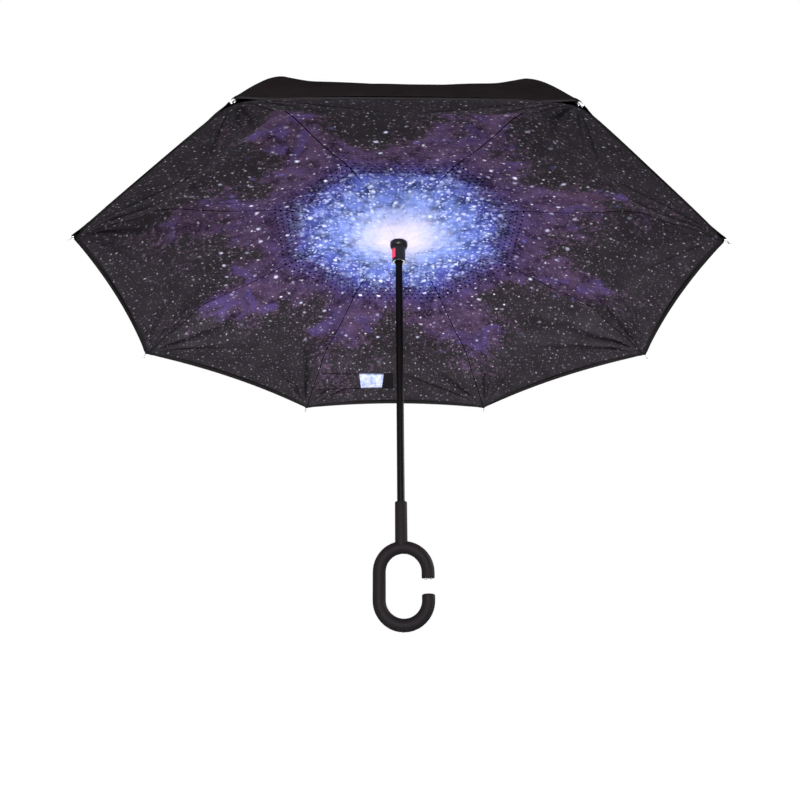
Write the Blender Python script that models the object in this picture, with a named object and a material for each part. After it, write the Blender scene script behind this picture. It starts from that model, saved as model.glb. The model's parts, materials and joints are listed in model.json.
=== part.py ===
"""Inverted umbrella with two canopies, a sliding runner, eight ribs and eight stretchers.

It is modelled open and upright. The origin is the middle of the hand loop, on the shaft's axis,
and the shaft runs up +Z. Each rib hinges on the runner, and each stretcher on the notch at the top.
"""

import math

import bmesh
import bpy
from mathutils import Matrix, Vector

# Fits
SEAT_GAP = 0.0003
RUNNING_GAP = 0.00035
SIDE_GAP = 0.0004
OVERRUN = 0.002

# Counts
RIBS = 8
ROUND_SIDES = 32
SMALL_SIDES = 12

# Hand loop, a C that is open on +X
LOOP_HEIGHT = 0.1365
LOOP_WIDTH = 0.0943
LOOP_TUBE = 0.020
LOOP_SHIFT = 0.0032
LOOP_UPPER_END = 0.0105
LOOP_LOWER_END = -0.0125
LOOP_EDGE = 0.0016
LOOP_BEND_STEPS = 12
LOOP_SIDES = 16

# Neck between the loop and the shaft
NECK_LENGTH = 0.06195
NECK_TOP_RADIUS = 0.0096
NECK_LOW_RADIUS = 0.0097
NECK_EDGE = 0.0012
NECK_FLOOR = 0.005

# Shaft
SHAFT_RADIUS = 0.0061
SHAFT_WALL = 0.0012
KEYWAY_WIDTH = 0.0022
KEYWAY_DEPTH = 0.0007

# Runner: a sleeve with a waist and a domed flange
RUNNER_RISE = 0.4368
RUNNER_PARK = 0.002
RUNNER_HEIGHT = 0.0386
RUNNER_RADIUS = 0.0118
RUNNER_WAIST_RADIUS = 0.0112
RUNNER_WAIST_HEIGHT = 0.0275
RUNNER_EDGE = 0.0007
SKIRT_BORE_RADIUS = 0.0096
SKIRT_DEPTH = 0.003
FLANGE_RADIUS = 0.0157
FLANGE_HEIGHT = 0.0042
DOME_STEPS = 4

# Release button, a ring round the shaft with a tooth in the keyway, turned from -X towards -Y
BUTTON_TURN = math.radians(33.0)
BUTTON_WIDTH = 0.009
BUTTON_HEIGHT = 0.018
BUTTON_LOW = 0.005
BUTTON_PROUD = 0.0008
BUTTON_DEPTH = 0.0028
BUTTON_TRAVEL = 0.0012
BUTTON_RING_RADIUS = 0.0088
BUTTON_RING_HEIGHT = 0.004
BUTTON_RING_BORE_GAP = 0.00045
BUTTON_NECK_WIDTH = 0.006
TOOTH_WIDTH = 0.0016
TOOTH_HEIGHT = 0.0024
RING_CAVITY_RADIUS = 0.0103
POCKET_DEPTH = 0.00345
SPRING_THICKNESS = 0.00025
SPRING_HEIGHT = 0.003
SPRING_HALF_SPAN = 0.005
SPRING_STEPS = 8

# Hinge crowns of the runner and the notch
PIVOT_RADIUS = 0.0108
PIVOT_ABOVE_FLANGE = 0.0134
PIVOT_RISE = 0.040
CROWN_RADIUS = 0.0138
CROWN_HUB_RADIUS = 0.008
CROWN_HALF_HEIGHT = 0.0028
NOTCH_PLATE = 0.0008
SLOT_SIDE_GAP = 0.0004
WIRE_RADIUS = 0.0005
WIRE_GROOVE = 0.00085
WIRE_SIDES = 5

# Top cap
CAP_RADIUS = 0.0125
CAP_TOP_RADIUS = 0.0062
CAP_HEIGHT = 0.0102
CAP_BORE_DEPTH = 0.0064
CAP_RIM = 0.0022
CAP_STEPS = 4

# Rib arm, a channel from the runner to the rib joint
ARM_LENGTH = 0.2382
ARM_OPEN_ANGLE = math.radians(5.0)
ARM_WIDTH = 0.0030
ARM_HEIGHT = 0.0040
ARM_EYE_RADIUS = 0.0023
ARM_EYE_HOLE = 0.0010
CHANNEL_WIDTH = 0.0020
CHANNEL_DEPTH = 0.0030
CHANNEL_START = 0.008
SOCKET_WIDTH = 0.0042
SOCKET_HEIGHT = 0.0048
SOCKET_BACK = 0.005
SOCKET_FRONT = 0.014
SOCKET_FLOOR = 0.0025

# Rod, which bows from the rib joint down to the tip
TIP_RADIUS = 0.5310
TIP_DROP = 0.137
TIP_ANGLE = math.radians(-54.0)
ROD_INNER_PULL = 0.150
ROD_OUTER_PULL = 0.190
ROD_RADIUS = 0.0014
ROD_SIDES = 6
ROD_STEPS = 11
CURVE_STEPS = 60

# Tip ferrule
FERRULE_RADIUS = 0.0024
FERRULE_INSIDE = 0.007
FERRULE_PIN_RADIUS = 0.0013
FERRULE_PIN_LENGTH = 0.0065
FERRULE_BALL_RADIUS = 0.0019
FERRULE_EDGE = 0.0008
FERRULE_SIDES = 8
BALL_STEPS = 3

# Stretcher, a flat bar beside the arm
STRETCHER_THICKNESS = 0.0020
STRETCHER_HEIGHT = 0.0032
STRETCHER_EYE_RADIUS = 0.0023
STRETCHER_EYE_HOLE = 0.0013
RIVET_RADIUS = 0.0013
RIVET_HEIGHT = 0.0007

# Canopies
CLOTH = 0.0005
CLOTH_CLEARANCE = 0.0008
LAYER_DEPTH = 0.060
CLOTH_SAG = 0.016
GORE_HALF_COLUMNS = 3
EYE_STEPS = 7

# Places along the whole rib, each with the depth of the cloth and its sag between the ribs
INNER_ROW_SHARES = (
    (0.060, 0.070, 0.00), (0.170, 0.015, 0.06), (0.236, 0.030, 0.08), (0.329, 0.216, 0.10),
    (0.366, 0.325, 0.12), (0.463, 0.708, 0.14), (0.585, 0.938, 0.16), (0.697, 0.806, 0.20),
    (0.781, 0.545, 0.20), (0.825, 0.520, 0.14), (0.879, 0.332, 0.04), (0.940, 0.120, -0.20),
    (1.000, 0.000, -0.40),
)
# Places along the rod, each with the sag of the cloth between the ribs
OUTER_ROW_SHARES = (
    (0.000, 0.00), (0.140, 0.22), (0.283, 0.60), (0.410, 0.92), (0.528, 1.00), (0.637, 0.82),
    (0.747, 0.46), (0.865, 0.12), (1.000, -0.02),
)
CROWN_ROW_SHARES = (0.0, 0.20, 0.45, 0.72, 1.0)
CROWN_SAG_SHARES = (0.0, 0.10, 0.16, 0.10, 0.0)

# Tie strap, sewn to the inner canopy beside the fourth rib
STRAP_RIB = 4
STRAP_THICKNESS = 0.0010
STRAP_ROW_SHARES = (0.838, 0.879, 0.921)
STRAP_START_SHARE = 0.05
STRAP_END_SHARE = 0.97
STRAP_STEPS = 4

# Heights and places that follow from the sizes above
HALF_GORE = math.pi / RIBS
FIRST_RIB = -HALF_GORE
LOOP_RADIUS = LOOP_TUBE / 2
LOOP_TOP = LOOP_HEIGHT / 2
NECK_TOP = LOOP_TOP + NECK_LENGTH
SHAFT_BASE = LOOP_TOP - NECK_FLOOR + SEAT_GAP
BORE_RADIUS = SHAFT_RADIUS + RUNNING_GAP
RUNNER_BASE = NECK_TOP + RUNNER_RISE
RUNNER_TOP = RUNNER_BASE + RUNNER_HEIGHT
RIB_PIVOT = RUNNER_TOP + PIVOT_ABOVE_FLANGE
NOTCH_PIVOT = RIB_PIVOT + PIVOT_RISE
NOTCH_TOP = NOTCH_PIVOT + CROWN_HALF_HEIGHT + NOTCH_PLATE
CLAMP_HEIGHT = NOTCH_TOP + SEAT_GAP + CLOTH / 2
CAP_BASE = CLAMP_HEIGHT + CLOTH / 2 + SEAT_GAP
SHAFT_TOP = CAP_BASE + CAP_BORE_DEPTH - SEAT_GAP
STRETCHER_OFFSET = SOCKET_WIDTH / 2 + SIDE_GAP + STRETCHER_THICKNESS / 2
CLOTH_OFFSET = (
    max(SOCKET_HEIGHT / 2, ARM_EYE_RADIUS, STRETCHER_EYE_RADIUS, FERRULE_RADIUS)
    + CLOTH / 2
    + CLOTH_CLEARANCE
)
BUTTON_MIDDLE = RUNNER_BASE + BUTTON_LOW + BUTTON_HEIGHT / 2


def clear_scene():
    """Removes what the new file starts with."""
    for obj in list(bpy.data.objects):
        bpy.data.objects.remove(obj)


def finish(name, color, roughness, metallic=0.0):
    """A plain finish with the colour of the real surface."""
    material = bpy.data.materials.new(name)
    material.use_nodes = True
    shader = material.node_tree.nodes["Principled BSDF"]
    shader.inputs["Base Color"].default_value = (*color, 1.0)
    shader.inputs["Roughness"].default_value = roughness
    shader.inputs["Metallic"].default_value = metallic
    return material


def place(name, mesh, material, parent=None, location=(0, 0, 0), turn=0.0):
    """Puts a mesh in the scene as a named piece."""
    piece = bpy.data.objects.new(name, mesh)
    bpy.context.collection.objects.link(piece)
    piece.location = location
    piece.rotation_euler.z = turn
    if parent is not None:
        piece.parent = parent
    if material is not None and not mesh.materials:
        mesh.materials.append(material)
    return piece


def mesh_from(bm, name, smooth=True):
    """Turns a bmesh into a mesh with its faces pointing outwards."""
    bmesh.ops.recalc_face_normals(bm, faces=bm.faces)
    mesh = bpy.data.meshes.new(name)
    bm.to_mesh(mesh)
    bm.free()
    if smooth:
        mesh.shade_smooth()
        mesh.set_sharp_from_angle(angle=math.radians(35.0))
    return mesh


def hidden(obj):
    """Marks a cutter or a guide, which is no part of the umbrella."""
    obj.hide_render = True
    obj.display_type = "WIRE"
    return obj


def combined(name, base, cuts=(), unions=(), commons=()):
    """One closed mesh: the base joined with the unions, kept within the commons, then cut."""
    body = hidden(place(name + "_base", base, None))
    helpers = [body]
    for operation, meshes in (("UNION", unions), ("INTERSECT", commons), ("DIFFERENCE", cuts)):
        for mesh in meshes:
            helper = hidden(place(name + "_helper", mesh, None))
            helpers.append(helper)
            step = body.modifiers.new(operation.lower(), "BOOLEAN")
            step.operation = operation
            step.object = helper
            step.solver = "EXACT"
    bpy.context.view_layer.update()
    graph = bpy.context.evaluated_depsgraph_get()
    result = bpy.data.meshes.new_from_object(body.evaluated_get(graph))
    result.name = name
    for helper in helpers:
        bpy.data.objects.remove(helper)
    result.materials.clear()
    result.shade_smooth()
    result.set_sharp_from_angle(angle=math.radians(35.0))
    return result


def turned(name, profile, sides=ROUND_SIDES):
    """A profile of (radius, height) points turned about Z. Points on the axis close the ends."""
    bm = bmesh.new()
    corners = [bm.verts.new((radius, 0, height)) for radius, height in profile]
    edges = [bm.edges.new(pair) for pair in zip(corners, corners[1:])]
    if profile[0][0] > 0:
        edges.append(bm.edges.new((corners[-1], corners[0])))
    bmesh.ops.spin(
        bm,
        geom=corners + edges,
        cent=(0, 0, 0),
        axis=(0, 0, 1),
        angle=2 * math.pi,
        steps=sides,
        use_merge=True,
    )
    bmesh.ops.remove_doubles(bm, verts=bm.verts, dist=SEAT_GAP / 100)
    return mesh_from(bm, name)


def box(name, low, high):
    """A closed box between two corners."""
    bm = bmesh.new()
    size = [b - a for a, b in zip(low, high)]
    middle = [(a + b) / 2 for a, b in zip(low, high)]
    bmesh.ops.create_cube(bm, size=1.0, matrix=Matrix.LocRotScale(middle, None, size))
    return mesh_from(bm, name, smooth=False)


def round_bar(name, radius, start, end, sides=SMALL_SIDES):
    """A closed cylinder from one point to another."""
    start, end = Vector(start), Vector(end)
    way = end - start
    bm = bmesh.new()
    bmesh.ops.create_cone(
        bm,
        cap_ends=True,
        segments=sides,
        radius1=radius,
        radius2=radius,
        depth=way.length,
        matrix=Matrix.Translation((start + end) / 2)
        @ way.to_track_quat("Z", "Y").to_matrix().to_4x4(),
    )
    return mesh_from(bm, name)


def plate(name, outline, low, high):
    """An outline of (x, z) points, given thickness along Y from low to high."""
    bm = bmesh.new()
    face = bm.faces.new([bm.verts.new((x, low, z)) for x, z in outline])
    pulled = bmesh.ops.extrude_face_region(bm, geom=[face])["geom"]
    moved = [part for part in pulled if isinstance(part, bmesh.types.BMVert)]
    bmesh.ops.translate(bm, verts=moved, vec=(0, high - low, 0))
    return mesh_from(bm, name)


def swept(name, path, radius, sides, edge=0.0, edge_steps=3):
    """A round bar along a path in the XZ plane, with rounded ends where edge is given."""
    bm = bmesh.new()
    places = [Vector((x, 0, z)) for x, z in path]
    rings = []
    for n, point in enumerate(places):
        ahead = places[min(n + 1, len(places) - 1)] - places[max(n - 1, 0)]
        ahead.normalize()
        across = Vector((-ahead.z, 0, ahead.x))
        stages = [(0.0, radius)]
        if edge > 0 and n in (0, len(places) - 1):
            turns = [math.pi / 2 * k / edge_steps for k in range(edge_steps + 1)]
            stages = [
                (edge * (1 - math.sin(t)), radius - edge * (1 - math.cos(t))) for t in turns
            ]
            if n == 0:
                stages.reverse()
        for inset, size in stages:
            centre = point + ahead * (inset if n == 0 else -inset)
            angles = [2 * math.pi * k / sides for k in range(sides)]
            rings.append(
                [
                    bm.verts.new(
                        centre + size * (math.cos(t) * across + math.sin(t) * Vector((0, 1, 0)))
                    )
                    for t in angles
                ]
            )
    for ring, following in zip(rings, rings[1:]):
        for k in range(sides):
            after = (k + 1) % sides
            bm.faces.new((ring[k], ring[after], following[after], following[k]))
    bm.faces.new(rings[0])
    bm.faces.new(rings[-1])
    return mesh_from(bm, name)


def arc(centre, radius, start, end, steps):
    """Points on an arc, ends included, with angles in radians."""
    turns = [start + (end - start) * k / steps for k in range(steps + 1)]
    return [
        (centre[0] + radius * math.cos(t), centre[1] + radius * math.sin(t)) for t in turns
    ]


def arm_joint():
    """The rib joint in the rib's frame, whose origin is the rib's pivot."""
    return Vector(
        (ARM_LENGTH * math.cos(ARM_OPEN_ANGLE), ARM_LENGTH * math.sin(ARM_OPEN_ANGLE))
    )


def rod_point(t):
    """A point of the rod's bow, from the rib joint at 0 to the tip at 1."""
    start = arm_joint()
    end = Vector((TIP_RADIUS - PIVOT_RADIUS, -TIP_DROP))
    leave = Vector((math.cos(ARM_OPEN_ANGLE), math.sin(ARM_OPEN_ANGLE)))
    arrive = Vector((math.cos(TIP_ANGLE), math.sin(TIP_ANGLE)))
    inner = start + ROD_INNER_PULL * leave
    outer = end - ROD_OUTER_PULL * arrive
    s = 1 - t
    return s**3 * start + 3 * s * s * t * inner + 3 * s * t * t * outer + t**3 * end


def rib_line():
    """Points of the whole rib from its pivot to its tip, with the length run at each."""
    points = [Vector((0, 0))] + [rod_point(k / CURVE_STEPS) for k in range(CURVE_STEPS + 1)]
    runs = [0.0]
    for before, after in zip(points, points[1:]):
        runs.append(runs[-1] + (after - before).length)
    return points, runs


RIB_POINTS, RIB_RUNS = rib_line()
RIB_LENGTH = RIB_RUNS[-1]


def along_rib(run):
    """The point at a length along the rib, and the direction there that points below it."""
    run = min(max(run, 0.0), RIB_LENGTH)
    last = len(RIB_RUNS) - 2
    n = next((k for k in range(last + 1) if run <= RIB_RUNS[k + 1]), last)
    start, end = RIB_POINTS[n], RIB_POINTS[n + 1]
    way = end - start
    point = start + way * (run - RIB_RUNS[n]) / (RIB_RUNS[n + 1] - RIB_RUNS[n])
    way.normalize()
    return point, Vector((way.y, -way.x))


def canopy_row(run, offset, sag):
    """One row of a gore: its point at the rib and its point midway to the next rib."""
    point, below = along_rib(run)
    radius = PIVOT_RADIUS + point.x + below.x * offset
    height = RIB_PIVOT + point.y + below.y * offset
    return radius, height, height - sag


def inner_rows():
    """The inner canopy, from the runner's flange to the rim."""
    start_radius = FLANGE_RADIUS + SIDE_GAP
    start_height = RUNNER_TOP + CLOTH + SEAT_GAP
    rows = [(start_radius, start_height, start_height)]
    for share, depth, sag in INNER_ROW_SHARES:
        offset = CLOTH_OFFSET + depth * LAYER_DEPTH
        rows.append(canopy_row(share * RIB_LENGTH, offset, sag * CLOTH_SAG))
    return rows


def outer_rows():
    """The outer canopy from the rib joints to the rim."""
    rod_length = RIB_LENGTH - ARM_LENGTH
    return [
        canopy_row(ARM_LENGTH + share * rod_length, -CLOTH_OFFSET, sag * CLOTH_SAG)
        for share, sag in OUTER_ROW_SHARES
    ]


def crown_rows():
    """The outer canopy from the clamp under the cap to the rib joints."""
    edge_radius, edge_height, _ = outer_rows()[0]
    edge_radius -= SEAT_GAP
    clamp_edge = CROWN_RADIUS / math.cos(HALF_GORE)
    hole_edge = (SHAFT_RADIUS + SIDE_GAP) / math.cos(HALF_GORE)
    rows = [(hole_edge, CLAMP_HEIGHT, CLAMP_HEIGHT)]
    for share, sag in zip(CROWN_ROW_SHARES, CROWN_SAG_SHARES):
        radius = clamp_edge + (edge_radius - clamp_edge) * share
        height = CLAMP_HEIGHT + (edge_height - CLAMP_HEIGHT) * share
        rows.append((radius, height, height - sag * CLOTH_SAG))
    return rows


def cloth_point(row, across, side):
    """A point of the cloth in the rib's plane frame: across is 0 at the rib and 1 midway."""
    radius, height, mid_height = row
    mid = radius * math.cos(HALF_GORE)
    x = radius + (mid * math.cos(HALF_GORE) - radius) * across
    y = mid * math.sin(HALF_GORE) * across
    z = height + (mid_height - height) * across * (2 - across)
    return Vector((x, side * y, z))


def thickened(bm, name, thickness):
    """Gives a sheet its thickness, the same on both of its faces."""
    bmesh.ops.recalc_face_normals(bm, faces=bm.faces)
    sheet = hidden(place(name + "_sheet", mesh_from(bm, name), None))
    solid = sheet.modifiers.new("thickness", "SOLIDIFY")
    solid.thickness = thickness
    solid.offset = 0.0
    solid.use_even_offset = True
    bpy.context.view_layer.update()
    graph = bpy.context.evaluated_depsgraph_get()
    result = bpy.data.meshes.new_from_object(sheet.evaluated_get(graph))
    result.name = name
    bpy.data.objects.remove(sheet)
    return result


def gore(name, rows):
    """A gore centred on its rib, in the rib's frame, with half of each panel beside the rib."""
    columns = 2 * GORE_HALF_COLUMNS
    bm = bmesh.new()
    bmesh.ops.create_grid(
        bm, x_segments=len(rows) - 1, y_segments=columns, size=1.0, calc_uvs=False
    )
    for vert in bm.verts:
        row = rows[round((vert.co.x + 1) / 2 * (len(rows) - 1))]
        column = round((vert.co.y + 1) / 2 * columns) - GORE_HALF_COLUMNS
        side = math.copysign(1, column)
        across = abs(column) / GORE_HALF_COLUMNS
        point = cloth_point(row, across, side)
        if abs(column) == GORE_HALF_COLUMNS:
            inward = Vector((math.sin(HALF_GORE), -side * math.cos(HALF_GORE), 0))
            point += inward * SEAT_GAP / 2
        vert.co = point - Vector((PIVOT_RADIUS, 0, RIB_PIVOT))
    return thickened(bm, name, CLOTH)


def crown_sheet(name, rows):
    """The centre of the outer canopy, all the way round, in the umbrella's frame."""
    spokes = 2 * RIBS
    bm = bmesh.new()
    start = bmesh.ops.create_circle(bm, cap_ends=False, segments=spokes, radius=1.0)["verts"]
    ring = sorted(start, key=lambda v: math.atan2(v.co.y, v.co.x) % (2 * math.pi))
    for n, row in enumerate(rows):
        if n:
            edges = [bm.edges.get((ring[k], ring[(k + 1) % spokes])) for k in range(spokes)]
            pulled = bmesh.ops.extrude_edge_only(bm, edges=edges)["geom"]
            fresh = [part for part in pulled if isinstance(part, bmesh.types.BMVert)]
            ring = sorted(
                fresh, key=lambda v: (math.atan2(v.co.y, v.co.x) - FIRST_RIB + HALF_GORE / 2)
                % (2 * math.pi)
            )
        else:
            bmesh.ops.rotate(
                bm, verts=ring, cent=(0, 0, 0), matrix=Matrix.Rotation(FIRST_RIB, 3, "Z")
            )
        for k, vert in enumerate(ring):
            turn = Matrix.Rotation(FIRST_RIB + HALF_GORE * (k - k % 2), 3, "Z")
            vert.co = turn @ cloth_point(row, k % 2, 1)
    return thickened(bm, name, CLOTH)


def loop_path():
    """The middle line of the hand loop, from its upper end round to its lower end."""
    half_width = LOOP_WIDTH / 2 - LOOP_RADIUS
    straight = LOOP_HEIGHT / 2 - LOOP_RADIUS - half_width
    top, low = (LOOP_SHIFT, straight), (LOOP_SHIFT, -straight)
    path = [(LOOP_SHIFT + half_width, LOOP_UPPER_END)]
    path += arc(top, half_width, 0.0, math.pi, LOOP_BEND_STEPS)
    path += arc(low, half_width, math.pi, 2 * math.pi, LOOP_BEND_STEPS)
    path.append((LOOP_SHIFT + half_width, LOOP_LOWER_END))
    return path


def make_handle(material):
    """The hand loop and its neck, moulded as one piece with a blind bore for the shaft."""
    loop = swept("loop", loop_path(), LOOP_RADIUS, LOOP_SIDES, LOOP_EDGE)
    foot = LOOP_TOP - LOOP_RADIUS
    neck = turned(
        "neck",
        [
            (0.0, foot),
            (NECK_LOW_RADIUS, foot),
            (NECK_TOP_RADIUS, NECK_TOP - NECK_EDGE),
            (NECK_TOP_RADIUS - NECK_EDGE, NECK_TOP),
            (0.0, NECK_TOP),
        ],
    )
    floor = LOOP_TOP - NECK_FLOOR
    bore = round_bar(
        "bore", SHAFT_RADIUS + SEAT_GAP, (0, 0, floor), (0, 0, NECK_TOP + OVERRUN), ROUND_SIDES
    )
    mesh = combined("c_handle", loop, unions=[neck], cuts=[bore])
    return place("c_handle", mesh, material)


def make_shaft(material):
    """The steel tube, with a shallow keyway for the button's tooth, opposite the button."""
    inner = SHAFT_RADIUS - SHAFT_WALL
    tube = turned(
        "tube",
        [
            (SHAFT_RADIUS, SHAFT_BASE),
            (SHAFT_RADIUS, SHAFT_TOP),
            (inner, SHAFT_TOP),
            (inner, SHAFT_BASE),
        ],
    )
    keyway = box(
        "keyway",
        (SHAFT_RADIUS - KEYWAY_DEPTH, -KEYWAY_WIDTH / 2, NECK_TOP - NECK_EDGE),
        (SHAFT_RADIUS + OVERRUN, KEYWAY_WIDTH / 2, RUNNER_TOP),
    )
    keyway.transform(Matrix.Rotation(BUTTON_TURN, 4, "Z"))
    return place("shaft_tube", combined("shaft_tube", tube, cuts=[keyway]), material)


def hinge_slots(direction, offset, width):
    """Cutters for the slots of a hinge crown, open upwards where direction is 1."""
    reach = CROWN_RADIUS + OVERRUN
    floor = -direction * CROWN_HALF_HEIGHT
    mouth = direction * (CROWN_HALF_HEIGHT + OVERRUN)
    cutters = []
    for n in range(RIBS):
        slot = box(
            "slot",
            (CROWN_HUB_RADIUS, offset - width / 2, min(floor, mouth)),
            (reach, offset + width / 2, max(floor, mouth)),
        )
        slot.transform(Matrix.Rotation(FIRST_RIB + 2 * HALF_GORE * n, 4, "Z"))
        cutters.append(slot)
    return cutters


def wire_groove(direction, radius):
    """A ring-shaped cutter that lets the wire into a hinge crown."""
    depth = -direction * WIRE_GROOVE
    mouth = direction * (CROWN_HALF_HEIGHT + OVERRUN)
    return turned(
        "groove",
        [
            (radius - WIRE_GROOVE, depth),
            (radius + WIRE_GROOVE, depth),
            (radius + WIRE_GROOVE, mouth),
            (radius - WIRE_GROOVE, mouth),
        ],
    )


def make_crown(name, material, pivot, low, high, direction, offset, width, wire):
    """A slotted hub that holds eight hinge eyes on a wire ring."""
    hub = turned(
        name,
        [(BORE_RADIUS, low), (CROWN_RADIUS, low), (CROWN_RADIUS, high), (BORE_RADIUS, high)],
    )
    cuts = hinge_slots(direction, offset, width) + [wire_groove(direction, wire)]
    return place(name, combined(name, hub, cuts=cuts), material, location=(0, 0, pivot))


def make_wire(name, material, pivot, radius):
    """The closed ring of wire that the hinge eyes turn on."""
    profile = arc((radius, 0), WIRE_RADIUS, 0.0, 2 * math.pi, WIRE_SIDES)[:-1]
    return place(name, turned(name, profile), material, location=(0, 0, pivot))


def make_hinges(plastic, steel):
    """The runner's crown and the fixed notch, each with its wire ring."""
    arm_slot = ARM_WIDTH + 2 * SLOT_SIDE_GAP
    floor = RUNNER_TOP + CLOTH + 2 * SEAT_GAP - RIB_PIVOT
    make_crown(
        "runner_crown", plastic, RIB_PIVOT, floor, CROWN_HALF_HEIGHT, 1, 0.0, arm_slot,
        PIVOT_RADIUS,
    )
    make_wire("runner_wire", steel, RIB_PIVOT, PIVOT_RADIUS)
    stretcher_slot = STRETCHER_THICKNESS + 2 * SLOT_SIDE_GAP
    ring = math.hypot(PIVOT_RADIUS, STRETCHER_OFFSET)
    make_crown(
        "top_notch", plastic, NOTCH_PIVOT, -CROWN_HALF_HEIGHT, CROWN_HALF_HEIGHT + NOTCH_PLATE,
        -1, STRETCHER_OFFSET, stretcher_slot, ring,
    )
    make_wire("notch_wire", steel, NOTCH_PIVOT, ring)


def make_cap(material):
    """The cap that clamps the outer canopy on the notch. Its top is flat."""
    dome_height = CAP_HEIGHT - CAP_RIM
    dome_width = CAP_RADIUS - CAP_TOP_RADIUS
    dome = [
        (CAP_TOP_RADIUS + dome_width * math.cos(t), CAP_RIM + dome_height * math.sin(t))
        for t in [math.pi / 2 * k / CAP_STEPS for k in range(CAP_STEPS + 1)]
    ]
    bore = SHAFT_RADIUS + SEAT_GAP
    profile = [(bore, 0.0), (CAP_RADIUS, 0.0), *dome, (0.0, CAP_HEIGHT)]
    profile = [(0.0, CAP_BORE_DEPTH), (bore, CAP_BORE_DEPTH), *profile]
    return place("top_cap", turned("top_cap", profile), material, location=(0, 0, CAP_BASE))


def make_runner(material):
    """The runner's sleeve, with the pocket and the cavity that the release button moves in."""
    flange_low = RUNNER_HEIGHT - FLANGE_HEIGHT
    dome_height = flange_low - RUNNER_WAIST_HEIGHT
    dome_width = FLANGE_RADIUS - RUNNER_WAIST_RADIUS
    dome = [
        (
            RUNNER_WAIST_RADIUS + dome_width * math.sin(t),
            RUNNER_WAIST_HEIGHT + dome_height * (1 - math.cos(t)),
        )
        for t in [math.pi / 2 * k / DOME_STEPS for k in range(DOME_STEPS + 1)]
    ]
    shoulder = RUNNER_WAIST_HEIGHT - (RUNNER_RADIUS - RUNNER_WAIST_RADIUS)
    profile = [
        (SKIRT_BORE_RADIUS, 0.0),
        (RUNNER_RADIUS - RUNNER_EDGE, 0.0),
        (RUNNER_RADIUS, RUNNER_EDGE),
        (RUNNER_RADIUS, shoulder),
        *dome,
        (FLANGE_RADIUS, RUNNER_HEIGHT),
        (BORE_RADIUS, RUNNER_HEIGHT),
        (BORE_RADIUS, SKIRT_DEPTH),
        (SKIRT_BORE_RADIUS, SKIRT_DEPTH),
    ]
    sleeve = turned("sleeve", profile)
    low = BUTTON_LOW - SEAT_GAP
    high = BUTTON_LOW + BUTTON_HEIGHT + SEAT_GAP
    half = BUTTON_WIDTH / 2 + SEAT_GAP
    pocket = box(
        "pocket",
        (-RUNNER_RADIUS - OVERRUN, -half, low),
        (-RUNNER_RADIUS + POCKET_DEPTH, half, high),
    )
    pocket.transform(Matrix.Rotation(BUTTON_TURN, 4, "Z"))
    middle = BUTTON_LOW + BUTTON_HEIGHT / 2
    half_cavity = BUTTON_RING_HEIGHT / 2 + SEAT_GAP
    cavity = round_bar(
        "cavity", RING_CAVITY_RADIUS, (0, 0, middle - half_cavity), (0, 0, middle + half_cavity),
        ROUND_SIDES,
    )
    mesh = combined("runner_body", sleeve, cuts=[pocket, cavity])
    return place("runner_body", mesh, material, location=(0, 0, RUNNER_BASE))


def make_button(material):
    """The release button: a curved pad, a ring round the shaft and a tooth on its far side."""
    face_radius = RUNNER_RADIUS + BUTTON_PROUD
    half = BUTTON_HEIGHT / 2
    pad = box(
        "pad",
        (-face_radius - OVERRUN, -BUTTON_WIDTH / 2, -half),
        (-face_radius + BUTTON_DEPTH, BUTTON_WIDTH / 2, half),
    )
    pad = combined(
        "pad",
        pad,
        commons=[
            round_bar(
                "face", face_radius, (0, 0, -half - OVERRUN), (0, 0, half + OVERRUN), 2 * ROUND_SIDES
            )
        ],
    )
    ring_half = BUTTON_RING_HEIGHT / 2
    bore = SHAFT_RADIUS + BUTTON_RING_BORE_GAP
    bore_shift = BUTTON_TRAVEL + BUTTON_RING_BORE_GAP / RIBS
    ring = round_bar("ring", BUTTON_RING_RADIUS, (0, 0, -ring_half), (0, 0, ring_half), ROUND_SIDES)
    neck = box(
        "neck",
        (-face_radius + BUTTON_DEPTH / 2, -BUTTON_NECK_WIDTH / 2, -ring_half),
        (-bore, BUTTON_NECK_WIDTH / 2, ring_half),
    )
    holes = [
        round_bar("hole", bore, (x, 0, -half), (x, 0, half), ROUND_SIDES)
        for x in (0.0, -bore_shift)
    ]
    body = combined("body", ring, unions=[neck, pad], cuts=holes)
    tooth_tip = SHAFT_RADIUS - KEYWAY_DEPTH + SEAT_GAP
    tooth = box(
        "tooth",
        (tooth_tip, -TOOTH_WIDTH / 2, -TOOTH_HEIGHT / 2),
        ((bore + BUTTON_RING_RADIUS) / 2, TOOTH_WIDTH / 2, TOOTH_HEIGHT / 2),
    )
    mesh = combined("release_button", body, unions=[tooth])
    return place("release_button", mesh, material, None, (0, 0, BUTTON_MIDDLE), BUTTON_TURN)


def make_spring(material):
    """The leaf spring that pushes the button's ring back, bowed against the cavity's wall."""
    end_radius = RING_CAVITY_RADIUS - SEAT_GAP - SPRING_THICKNESS
    end_x = math.sqrt(end_radius**2 - SPRING_HALF_SPAN**2)
    mid_x = BUTTON_RING_RADIUS + SEAT_GAP + SPRING_THICKNESS
    spots = [2 * k / SPRING_STEPS - 1 for k in range(SPRING_STEPS + 1)]
    middle = [(mid_x + (end_x - mid_x) * s * s, SPRING_HALF_SPAN * s) for s in spots]
    half = SPRING_THICKNESS / 2
    outline = [(x + half, y) for x, y in middle] + [(x - half, y) for x, y in reversed(middle)]
    mesh = plate("button_spring", outline, -SPRING_HEIGHT / 2, SPRING_HEIGHT / 2)
    mesh.transform(Matrix.Rotation(math.pi / 2, 4, "X"))
    return place("button_spring", mesh, material, None, (0, 0, BUTTON_MIDDLE), BUTTON_TURN)


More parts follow.
